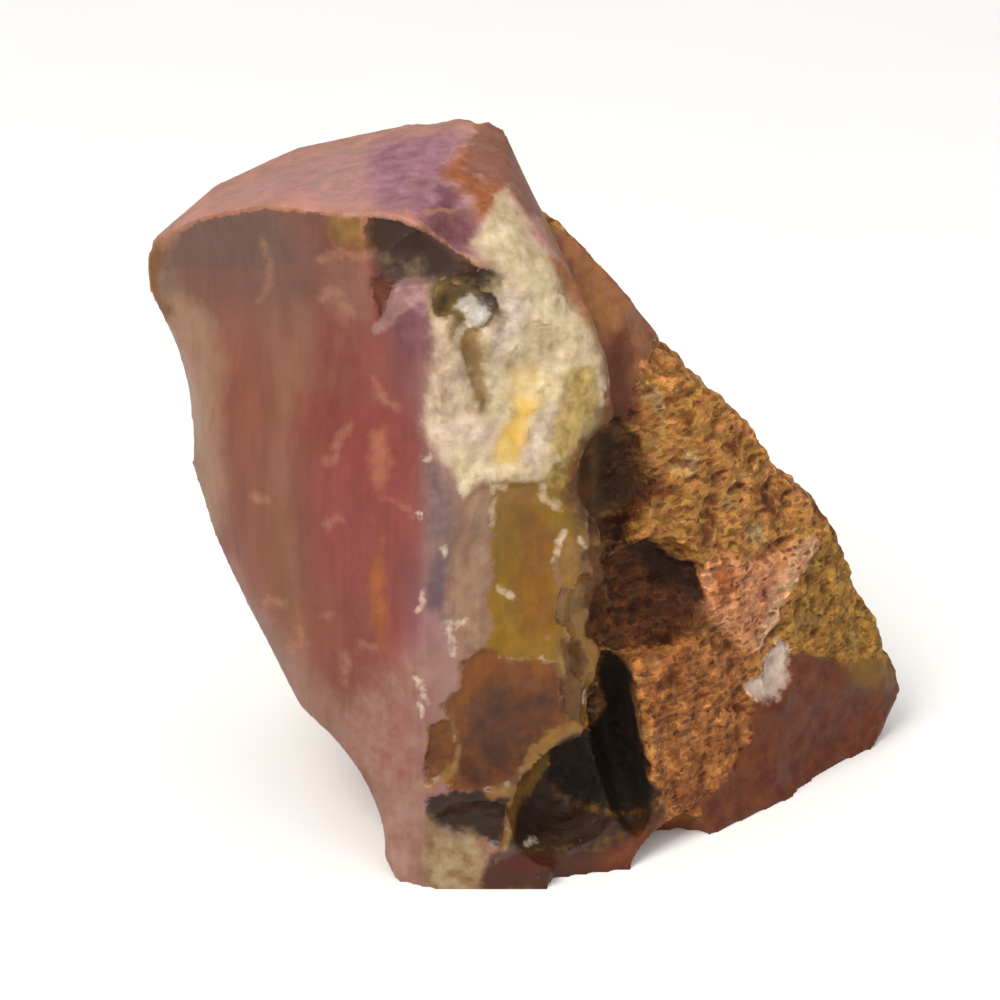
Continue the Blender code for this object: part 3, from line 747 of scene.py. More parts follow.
LINES = {
    # Pale crescents and scuffs on the left face: half a width in mm, then the points of each.
    "scuffs": ("front", 0.05, (
        (0.14, ((-17, 18.5), (-16.5, 17.5), (-16.5, 16.2), (-16.4, 15.4), (-17.2, 14.2))),
        (0.25, ((-12.8, 17), (-12.1, 17.5), (-11, 17.6), (-9.5, 17.4))),
        (0.2, ((-12.8, 14.3), (-12.1, 15), (-11.4, 14.8))),
        (0.18, ((-11.1, 13.9), (-10.5, 13.2))),
        (0.2, ((-11.8, 3.6), (-11.4, 4.6), (-10.7, 5.2))),
        (0.25, ((-12.4, 2.7), (-11.8, 2.9))),
        (0.3, ((-17.5, 0.2), (-16.9, 0.1))),
        (0.2, ((-12.5, -1.8), (-11.8, -1.3), (-11.4, -1.3))),
        (0.15, ((-9, 8.5), (-8.2, 7.2), (-7.2, 6.5))),
        (0.15, ((-8.5, 0.2), (-7.8, 0.2), (-6.2, -1))),
        (0.2, ((-12.5, -8.2), (-12, -8.1))),
        (0.18, ((-14.3, -9.2), (-14, -10.2), (-15, -10.5))),
        (0.2, ((-9.8, -10.2), (-9, -10.4))),
        (0.3, ((-16.6, -7.2), (-15.6, -7.4))),
        (0.2, ((-11, -11), (-11, -13))),
    )),
    # Whitish glints where the agate is chipped: pale chips, whose whiteness is partly a painted highlight.
    "glints": ("front", 0.05, (
        (0.18, ((-6, -12.7), (-5.4, -13.6), (-5.2, -14.4))),
        (0.07, ((-5.7, -14.3), (-5.6, -15.5))),
        (0.2, ((-0.1, 0.8), (0.5, 0.8))),
        (0.2, ((0, -6.3), (0.8, -6.9))),
        (0.2, ((-4.2, -3.5), (-3.9, -3.9))),
        (0.15, ((-5.6, -6.5), (-5.6, -7.5), (-5.9, -7.8))),
        (0.2, ((-6, -0.9), (-5.6, -1))),
        (0.2, ((-1.1, 9.6), (-0.4, 9.1))),
        (0.2, ((1.8, 14), (1.5, 12.2))),
        (0.3, ((-3, 11.4), (-2.6, 12.6))),
        (0.15, ((3.4, 8), (4.4, 7.9))),
        (0.15, ((4.7, -2.4), (4.3, -3), (3.8, -4.5))),
        (0.2, ((5.9, -2.9), (6.2, -3.3))),
        (0.25, ((-3.8, -9), (-3.4, -10.2), (-3.3, -11))),
        (0.15, ((-2.9, -9), (-2.4, -8.6))),
        (0.12, ((6.3, -14.5), (6.5, -13.8))),
        (0.15, ((1.8, -24.6), (2.4, -24.3))),
        (0.15, ((-5.4, 2.9), (-5, 3.1))),
    )),
    # Worn tan rims between the glossy scars.
    "tan_rims": ("front", -0.05, (
        (0.3, (
            (6.6, -12), (6.5, -12.9), (7, -14.2), (6.5, -15.6), (5, -16.2), (3.7, -17), (2.6, -17.9),
            (2.1, -18.8))),
        (0.35, ((3.2, -18.5), (2.5, -19.8), (1.8, -20.8), (0, -20.8), (-0.6, -21.1))),
        (0.3, ((1.2, -21.4), (0.7, -22.8), (0.3, -24.8))),
        (0.15, ((-3.6, -15.6), (-3, -16.8), (-2.9, -18), (-3.2, -19))),
        (0.3, ((-3.2, -19), (-4, -19.7), (-5, -20.5))),
        (0.15, ((4.7, -9.6), (4.2, -11))),
        (0.15, ((4, -11.8), (4.6, -12.6))),
    )),
    # The pale hems of the cream face.
    "cream_rims": ("front", -0.05, (
        (0.15, ((-1.4, 1.9), (0.2, 2.3), (2, 2.2), (3.2, 2.3), (3.9, 3.2))),
        (0.15, ((-2.9, 2), (-2.6, 0.5), (-2, 1))),
        (0.15, ((3.2, 1), (3.2, 0), (4.2, -0.6))),
        (0.15, ((-0.4, 1), (-0.4, -1.8))),
        (0.15, ((5.2, 9.7), (6.5, 9.8), (7.4, 8.5), (7.4, 6.8))),
        (0.12, ((4.3, 10.5), (4.6, 9.2))),
    )),
    # The bruised seam that runs down the right of the ledge.
    "ledge_line": ("front", -0.15, (
        (0.5, ((21.9, -3.1), (20.9, -4.6), (19.8, -6.5), (19.4, -8.2), (18.6, -10.2))),
    )),
    # The salmon rear rim of the top, and the paler one along the lip, which is a painted highlight on the
    # lip's edge.
    "rear_rim": ("any", 0, (
        (0.6, (
            (-24, 18.5), (-23, 20), (-21, 21.5), (-18.5, 23), (-15.8, 24.2), (-13, 25.2), (-10, 25.8),
            (-7, 26.3), (-4.2, 26.9), (-1.5, 27.2))),
    )),
    "lip_rim": ("top", 0, (
        (0.3, (
            (-23, 19.5), (-19.3, 21.2), (-17.2, 21.6), (-14.2, 21.2), (-10, 20.7), (-6.5, 20),
            (-4.5, 18.8))),
    )),
    "left_scorch": ("front", 0, (
        (0.5, ((-24.2, 18), (-25, 16), (-24.8, 14.2), (-23.8, 13.4))),
        (0.25, ((-9.8, -19.5), (-9.2, -22))),
    )),
}
CALM = {
    "strip": 0.9, "top_brown": 1, "brow": 1, "high_hollow": 0.5, "hollow_roof": 0.4, "ledge": 0.25,
    "corner": 1, "corner_chip": 1, "cavity": 0.6, "cavity_floor": 0.8, "foot_strip": 0.9,
}
print("patches:", len(PATCHES), "kinds of line:", len(LINES), "calm:", len(CALM))

# %% [markdown]
# ## How far every point is from every outline
# The distance to an outline is a field: a number for every point of the skin, positive inside. One field
# drives both the relief, so a scar sinks with a crisp wall, and later the colour, so paint and form share
# one edge. Seen from the camera, a patch would also fall on whatever lies behind it, so its field is cut
# off where the skin turns away from its face, where the top begins, and past the front half.

# %% Measure the distances
CALM_EDGE = 0.6
FRONT_DEPTH = 7.0
TOP_BEGINS = 40.0
LOWEST_LIP = 16.5
TOP_SLOPE = 0.62
SIDE_SLOPE = 0.2
TOP_WALL = 4
SIDE_WALL = 6
CRUST_WALL = 2
PLAIN_REACH = 0.5
SETTLED_BY = (-0.1, 0.4, 0.0)


def seen_from_camera(points):
    """How far right of the camera's target and above it each point appears, in mm beside the target."""
    upward = np.array((0.0, math.sin(rise), math.cos(rise)))
    relative = points - SETTLED_BY - CAMERA_TARGET
    scale = CAMERA_DISTANCE / (CAMERA_DISTANCE + relative @ np.array(looking))
    return relative[:, 0] * scale, relative @ upward * scale


def line_distance(line, across, up):
    """The distance in mm from each point to a line of points."""
    nearest = np.full(len(across), np.inf)
    for (x0, y0), (x1, y1) in zip(line, line[1:]):
        run, climb = x1 - x0, y1 - y0
        along = np.clip(((across - x0) * run + (up - y0) * climb) / (run ** 2 + climb ** 2), 0, 1)
        nearest = np.minimum(nearest, np.hypot(across - x0 - along * run, up - y0 - along * climb))
    return nearest


def inside_distance(outline, across, up):
    """The distance in mm from each point to an outline, positive inside and negative outside."""
    closed = outline + outline[:1]
    inside = np.zeros(len(across), bool)
    for (x0, y0), (x1, y1) in zip(closed, closed[1:]):
        if y0 != y1:
            inside ^= ((y0 > up) != (y1 > up)) & (across < (x1 - x0) * (up - y0) / (y1 - y0) + x0)
    nearest = line_distance(closed, across, up)
    return np.where(inside, nearest, -nearest)


def kept_to(face, field):
    """A field kept to its face: the top short of the crust, the front short of the top, or any in front."""
    high = np.minimum(points[:, 2] - TOP_BEGINS, up - LOWEST_LIP)
    if face == "top":
        high = np.minimum(high, CRUST_WALL * (0.5 - crust))
        return np.minimum(field, np.minimum(TOP_WALL * (normals[:, 2] - TOP_SLOPE), high))
    if face == "front":
        off_top = np.where(high > 0, TOP_WALL * (TOP_SLOPE - normals[:, 2]), 1.0)
        field = np.minimum(field, off_top)
    facing_camera = SIDE_WALL * (SIDE_SLOPE - normals @ np.array(looking))
    return np.minimum(field, np.minimum(FRONT_DEPTH - points[:, 1], facing_camera))


across, up = seen_from_camera(points)
normals = outward_normals(eased(points, PLAIN_REACH))
fields, sinks = {}, {}
for name, (face, sink, outline) in PATCHES.items():
    fields[name] = kept_to(face, inside_distance(outline, across, up))
    sinks[name] = sink
for name, (face, sink, lines) in LINES.items():
    strokes = [half_width - line_distance(line, across, up) for half_width, line in lines]
    fields[name] = kept_to(face, np.maximum.reduce(strokes))
    sinks[name] = sink
for name, share in CALM.items():
    crust = crust * (1 - share * smooth_step(-CALM_EDGE, CALM_EDGE, fields[name]))
print("fields:", len(fields), "crust share once calmed:", round(float(crust.mean()), 2))

# %% [markdown]
# ## Weather the agate
# The dense core has only swollen a little. It is knobbly where flakes have broken off, right of the
# spine, and bumpy on the right part of the top. Noise gives all of them. Each pair below is how high a
# form stands and how wide it is, in millimetres, and a smooth step says where it is.

# %% Weather the agate
AGATE_SWELL = (0.16, 7.0)
AGATE_KNOBS = (0.3, 2.6)
RIGHT_OF_SPINE = (-0.3, 0.8)
FRONT_FACING = (0.3, 0.6)
TOP_BUMPS = (0.22, 1.8)
TOP_FACING = (0.6, 0.8)
TOP_BUMPS_BEGIN = (-11.5, -8.5)


def noise_at(points, size, measure, stretch=(1, 1, 1)):
    """A noise measured at every point, for a pattern of that size in mm, stretched along each axis."""
    return np.array([measure(Vector(point)) for point in points / (size * np.array(stretch))])


def knobbly(point):
    """A rough noise with many fine forms on the coarse ones."""
    return noise.fractal(point, 0.8, 2.3, 3)


swell = AGATE_SWELL[0] * noise_at(points, AGATE_SWELL[1], noise.noise)
knobs = AGATE_KNOBS[0] * noise_at(points, AGATE_KNOBS[1], knobbly)
knobs *= smooth_step(*RIGHT_OF_SPINE, points[:, 0] - SPINE) * smooth_step(*FRONT_FACING, -normals[:, 1])
bumps = TOP_BUMPS[0] * noise_at(points, TOP_BUMPS[1], knobbly)
bumps *= smooth_step(*TOP_FACING, normals[:, 2]) * smooth_step(*TOP_BUMPS_BEGIN, points[:, 0])
agate_height = swell + knobs + bumps
print("height of the agate's forms, mm:", round(float(np.ptp(agate_height)), 2))

# %% [markdown]
# ## Weather the crust
# Crumbly outer wood weathers into lumps that are stretched along the grain, with open pits between them,
# thin furrows across them, and on the back long bark-like ridges. The large lumps are the same as on the
# solid block, and the grains under a millimetre are what this finer skin adds. A pit or a grain is a dip
# or a bump around a scattered middle, so both come from the distance to the nearest one.

# %% Weather the crust
CRUST_LUMPS = (0.75, 4.2)
ALONG_GRAIN = (1, 1, 2.4)
CRUST_PITS = (0.8, 2.3)
PIT_REACH = 0.42
CRUST_GRAINS = (0.3, 0.9)
CRUST_FURROWS = (0.3, 1.0)
ALONG_LAYERS = (2.2, 2.2, 1)
FURROWED = (0.1, 0.5)
BARK_RIDGES = (1.0, 3.4)
ALONG_BARK = (1, 1, 7.0)


def crumbly(point):
    """A rough noise, the coarse forms of which stand out."""
    return noise.fractal(point, 0.9, 2.2, 3)


def middle_distance(point):
    """The distance to the nearest of the scattered middles, as a share of the pattern's size."""
    return noise.voronoi(point)[0][0]


lumps = CRUST_LUMPS[0] * noise_at(points, CRUST_LUMPS[1], crumbly, ALONG_GRAIN)
pits = -CRUST_PITS[0] * np.maximum(0, PIT_REACH - noise_at(points, CRUST_PITS[1], middle_distance))
grains = CRUST_GRAINS[0] * (0.5 - noise_at(points, CRUST_GRAINS[1], middle_distance))
layers = noise_at(points, CRUST_FURROWS[1], noise.noise, ALONG_LAYERS)
furrows = -CRUST_FURROWS[0] * smooth_step(*FURROWED, layers)
ridges = -BARK_RIDGES[0] * np.abs(noise_at(points, BARK_RIDGES[1], noise.noise, ALONG_BARK))
crust_height = lumps + pits + behind * ridges + grains + (1 - behind) * furrows
print("height of the crust's forms, mm:", round(float(np.ptp(crust_height)), 2))

# %% [markdown]
# ## Crease the cream face and sink the patches
# The cream face broke along many small planes that meet in sharp creases: the absolute value of a noise
# has such creases wherever it passes zero. Noise also frays the outlines, and the drawn lines less than
# the rest, because they are so thin. Then every patch sinks by its own depth, with a narrow wall. The
# foot stays as it is, so that the chunk keeps its flat base.

# %% Crease and sink
CREAM_CREASES = (0.8, 3.0)
CREASE_LEVEL = 0.3
CREASED = (-0.3, 0.6)
RAGGED_EDGE = ((0.45, 1.6), (0.2, 0.6))
LINE_RAGGED = 0.5
PATCH_WALL = (-0.11, 0.11)
FLAT_BASE = (0.2, 1.5)

height = (1 - crust) * agate_height + crust * crust_height
creases = CREASE_LEVEL - np.abs(noise_at(points, CREAM_CREASES[1], crumbly))
height += CREAM_CREASES[0] * creases * smooth_step(*CREASED, fields["cream_face"])
ragged = sum(high * noise_at(points, size, noise.noise) for high, size in RAGGED_EDGE)
for name, sink in sinks.items():
    fields[name] = fields[name] + ragged * (LINE_RAGGED if name in LINES else 1.0)
    height -= sink * smooth_step(*PATCH_WALL, fields[name])
height *= smooth_step(*FLAT_BASE, points[:, 2])
points = points + normals * height[:, None]
print("lowest and highest weathering, mm:", round(float(height.min()), 2), round(float(height.max()), 2))

# %% [markdown]
# ## The finished mesh
# The solid block was moved a fraction of a millimetre when its base was centred on the origin. The fine
# block makes the same move, and no point may leave the solid's box, so that whatever is set around the
# solid also clears this one. Then the points go back into the mesh in metres. With them go the two fields
# that the material asks for by name: how crusty a point is, and how sharp an edge it stands on. The edges
# of the lip are rubbed pale, and the sharp edges of the scars are pale partly from wear and partly as a
# painted highlight, so each of them gets one more field, which grows with the sharpness and fades towards
# the crust and the back.

# %% Write the mesh and its fields
RIM_REACH = 0.9
WORN_EDGES = {
    # How sharp the rim is where the paleness begins, then the outline that the pale rims lie in. On the lip
    # they are wear, on the scars partly wear and partly a painted highlight.
    "worn_and_lit_scar_rims": (0.13, (
        (-5.5, -28), (-5.5, 17), (0, 22), (7.5, 12), (8, 5), (6.5, -3), (6.5, -10), (4.5, -16), (1, -21),
        (-1, -28))),
    "worn_lip": (0.08, ((-26, 12), (-26, 22), (-16, 26), (-2, 26), (-2, 17), (-12, 19), (-22, 17))),
}
WEAR_GROWTH = 10
WEAR_OFF_CRUST = 3
WEAR_OFF_BACK = 9

solid_low, solid_high = (np.array(corner) / MM for corner in solid_box)
points = points - SETTLED_BY
points[:, 2] -= points[:, 2].min()
print("beyond the solid's box, mm:", np.round(points.max(axis=0) - solid_high, 2),
      np.round(solid_low - points.min(axis=0), 2))
points = np.clip(points, solid_low, solid_high)
normals = outward_normals(points)
fields["crust"] = crust
fields["rim"] = np.einsum("ij,ij->i", points - eased(points, RIM_REACH), normals)
for name, (least, outline) in WORN_EDGES.items():
    wear = np.minimum(inside_distance(outline, across, up), WEAR_GROWTH * (fields["rim"] - least))
    fields[name] = wear - WEAR_OFF_CRUST * crust - WEAR_OFF_BACK * behind
skin.vertices.foreach_set("co", (points * MM).astype(np.float32).ravel())
skin.shade_smooth()


def keep_field(name, values):
    """Keeps a number for every point in the mesh, where the material can ask for it."""
    skin.attributes.new(name, "FLOAT", "POINT").data.foreach_set("value", values.astype(np.float32))


for name in ("crust", "rim"):
    keep_field(name, fields[name])
skin.name = "agatised_chunk"
chunk = bpy.data.objects.new("agatised_chunk", skin)
scene.collection.objects.link(chunk)
triangles = sum(len(face.vertices) - 2 for face in skin.polygons)
print("triangles:", triangles, "fields:", len(fields))

# %% [markdown]
# ## How a material is written
# Every colour is picked as an sRGB hex value, as a colour picker on a screen gives it, and one function
# turns it into the linear values that the shader works with. One more function adds a node with its
# settings and its inputs, so that a material reads as a list of what it mixes. A stone like this holds
# only a few minerals, so there is one short palette, and every patch is a mottle of two of its colours.

# %% Write the palette, colours and nodes
MINERALS = {
    # Quartz, clear to milky, and the pale agates.
    "rock_crystal": "#DDD9CC", "milk": "#D8C6B4", "cream": "#CFBE9E", "straw": "#C4AA6C",
    "honey": "#D8AC4C", "sand": "#A48E6C", "taupe": "#927860", "rose_grey": "#96766C",
    "lilac_grey": "#80685F", "violet": "#5E484E",
    # Agate stained by a trace of haematite, pink to plum.
    "dusty_pink": "#AC7A76", "salmon": "#B47E62", "clay": "#865E4C", "brick": "#7A4A3A",
    "rose": "#86403C", "haematite": "#72362E", "mauve": "#7C4E56", "plum": "#5E3238",
    "lilac": "#966E7C", "cocoa": "#60463C",
    # Iron that took up water: limonite and its kin.
    "limonite": "#8C6832", "bronze": "#6C4E24", "olive": "#765C1E", "ochre": "#86600C",
    "amber": "#7C4A10", "orange": "#9C5A28", "tawny": "#98683A", "rust": "#6E3C1A",
    "chestnut": "#542C16", "oxblood": "#521E10",
    # Manganese and dirt, down to black.
    "coffee": "#3A2214", "umber": "#2A1D13", "soot": "#171410",
}


def linear(hex_colour):
    """An sRGB colour such as "#8A5A48" as the linear values that a shader takes."""
    values = []
    for start in (1, 3, 5):
        share = int(hex_colour[start:start + 2], 16) / 255
        values.append(share / 12.92 if share <= 0.04045 else ((share + 0.055) / 1.055) ** 2.4)
    return values + [1.0]


def mineral(name):
    """A colour of the palette as linear values."""
    return linear(MINERALS[name])


def add(tree, kind, inputs, stops=(), **settings):
    """Adds a node. An input is a value or a socket that feeds it; stops are a ramp's places and colours."""
    node = tree.nodes.new("ShaderNode" + kind)
    for name, value in settings.items():
        setattr(node, name, value)
    for key, value in inputs.items():
        if isinstance(value, bpy.types.NodeSocket):
            tree.links.new(value, node.inputs[key])
        else:
            node.inputs[key].default_value = value
    for number, (place, colour) in enumerate(stops):
        elements = node.color_ramp.elements
        stop = elements[number] if number < 2 else elements.new(place)
        stop.position = place
        stop.color = colour
    return node


print("minerals:", len(MINERALS), "brick, linear:", [round(share, 3) for share in mineral("brick")])

# %% [markdown]
# ## The grain of the agate
# The stone is agate, a fine-grained quartz, that took the place of wood. Iron stained the growth rings
# one by one, so the colours stand in upright bands a few millimetres wide, with a fine upright fibre in
# them. A colour ramp over X gives the bands, noise of 6 mm bends them, and a noise that is eleven times
# as long as it is wide draws the fibre. The real fibre is 0.05 mm wide, too fine to show, so it is drawn
# at 0.45 mm. Broader clouds of the same kind shade the bands.

# %% Start the agate and lay its grain
GRAIN_BANDS = (
    (-28, "clay"), (-25, "taupe"), (-22.5, "brick"), (-18, "brick"), (-16.5, "clay"), (-15.5, "brick"),
    (-12.5, "haematite"), (-9.5, "rose"), (-8, "mauve"), (-6, "rose_grey"), (-4, "clay"), (0, "bronze"),
    (3, "limonite"), (8, "rust"), (16, "chestnut"), (28, "oxblood"),
)
BAND_LEAN = 0.04
BAND_BEND = (1.6, 6.0)
FIBRE = {"width": 0.45, "length": 5.0, "strength": 0.06}
CLOUDS = {"width": 2.2, "length": 6.0, "strength": 0.1}
NOISE_SPAN = (0.3, 0.7)

stone = bpy.data.materials.new("agatised_wood")
stone.use_nodes = True
tree = stone.node_tree
shader = tree.nodes["Principled BSDF"]
from_origin = add(tree, "TexCoord", {}).outputs["Object"]
in_mm = add(tree, "VectorMath", {0: from_origin, "Scale": 1 / MM}, operation="SCALE").outputs["Vector"]
bend = add(tree, "TexNoise", {"Vector": in_mm, "Scale": 1 / BAND_BEND[1], "Detail": 2.0}).outputs["Fac"]
leaning = add(tree, "VectorMath", {0: in_mm, 1: (1.0, 0.0, BAND_LEAN)}, operation="DOT_PRODUCT")
across_bands = add(tree, "Math", {0: bend, 1: BAND_BEND[0], 2: leaning.outputs["Value"]},
                   operation="MULTIPLY_ADD").outputs[0]
left_end, right_end = GRAIN_BANDS[0][0], GRAIN_BANDS[-1][0]
middle = BAND_BEND[0] / 2
band = add(tree, "MapRange", {"Value": across_bands, "From Min": left_end + middle,
                              "From Max": right_end + middle})
stops = [((x - left_end) / (right_end - left_end), mineral(name)) for x, name in GRAIN_BANDS]
agate_colour = add(tree, "ValToRGB", {"Fac": band.outputs[0]}, stops).outputs["Color"]


def field(name):
    """The socket that gives a field that is kept by itself."""
    return add(tree, "Attribute", {}, attribute_name=name).outputs["Fac"]


def gain(value, low, high, least, most):
    """Turns a value between low and high into a gain between least and most."""
    return add(tree, "MapRange", {"Value": value, "From Min": low, "From Max": high,
                                  "To Min": least, "To Max": most}).outputs[0]


def streaks(width, length, strength):
    """A gain that wavers by that share in upright streaks of that width and length in mm."""
    squeezed = add(tree, "VectorMath", {0: in_mm, 1: (1.0, 1.0, width / length)}, operation="MULTIPLY")
    place = squeezed.outputs["Vector"]
    wavering = add(tree, "TexNoise", {"Vector": place, "Scale": 1 / width, "Detail": 2.0}).outputs["Fac"]
    return gain(wavering, *NOISE_SPAN, 1 - strength, 1 + strength)


fibres = streaks(**FIBRE)
clouds = streaks(**CLOUDS)
grain_gain = add(tree, "Math", {0: fibres, 1: clouds}, operation="MULTIPLY").outputs[0]
print("bands:", len(GRAIN_BANDS))

# %% [markdown]
# ## The colours of the crust
# The crumbly wood holds limonite and other iron oxides, which run from chestnut through rust and tawny to
# sand. A slow noise of 3.5 mm lets the colour drift from one to the next. Grains half a millimetre wide
# and that same drift make the edge of the crust ragged. The single grains come later, over everything.

# %% Colour the crust
CRUST_BANDS = (
    (0.3, "chestnut"), (0.38, "rust"), (0.45, "limonite"),
    (0.52, "tawny"), (0.6, "limonite"), (0.72, "sand"),
)
CRUST_DRIFT = 3.5
CRUST_RAGGED = 0.8
CRUST_WANDER = 1.5
CRUST_BEGINS = (1.62, 1.72)
AGATE_ROUGHNESS = 0.4
CRUST_ROUGHNESS = 0.75
SPECK = 0.5

drift = add(tree, "TexNoise", {"Vector": in_mm, "Scale": 1 / CRUST_DRIFT, "Detail": 3.0}).outputs["Fac"]
crust_stops = [(place, mineral(name)) for place, name in CRUST_BANDS]
crust_colour = add(tree, "ValToRGB", {"Fac": drift}, crust_stops).outputs["Color"]
speckle = add(tree, "TexNoise", {"Vector": in_mm, "Scale": 1 / SPECK, "Detail": 3.0}).outputs["Fac"]
ragged_crust = add(tree, "Math", {0: speckle, 1: CRUST_RAGGED, 2: field("crust")}, operation="MULTIPLY_ADD")
ragged_crust = add(tree, "Math", {0: drift, 1: CRUST_WANDER, 2: ragged_crust.outputs[0]},
                   operation="MULTIPLY_ADD").outputs[0]
crust_share = add(tree, "MapRange", {"Value": ragged_crust, "From Min": CRUST_BEGINS[0],
                                     "From Max": CRUST_BEGINS[1]}).outputs[0]
colour = add(tree, "Mix", {0: crust_share, 6: agate_colour, 7: crust_colour}, data_type="RGBA").outputs[2]
roughness = AGATE_ROUGHNESS + (CRUST_ROUGHNESS - AGATE_ROUGHNESS) * fields["crust"]
print("crust colours:", len(CRUST_BANDS))

# %% [markdown]
# ## The coats of the patches
# Each patch gets a coat over what is there, in the order of this list: its ground and the mineral that
# spots it, how soft its edge is in mm, how much it covers, and its roughness. A fresh scar of agate is as
# smooth as glass, near 0.2, and a rubbed face is near 0.4.

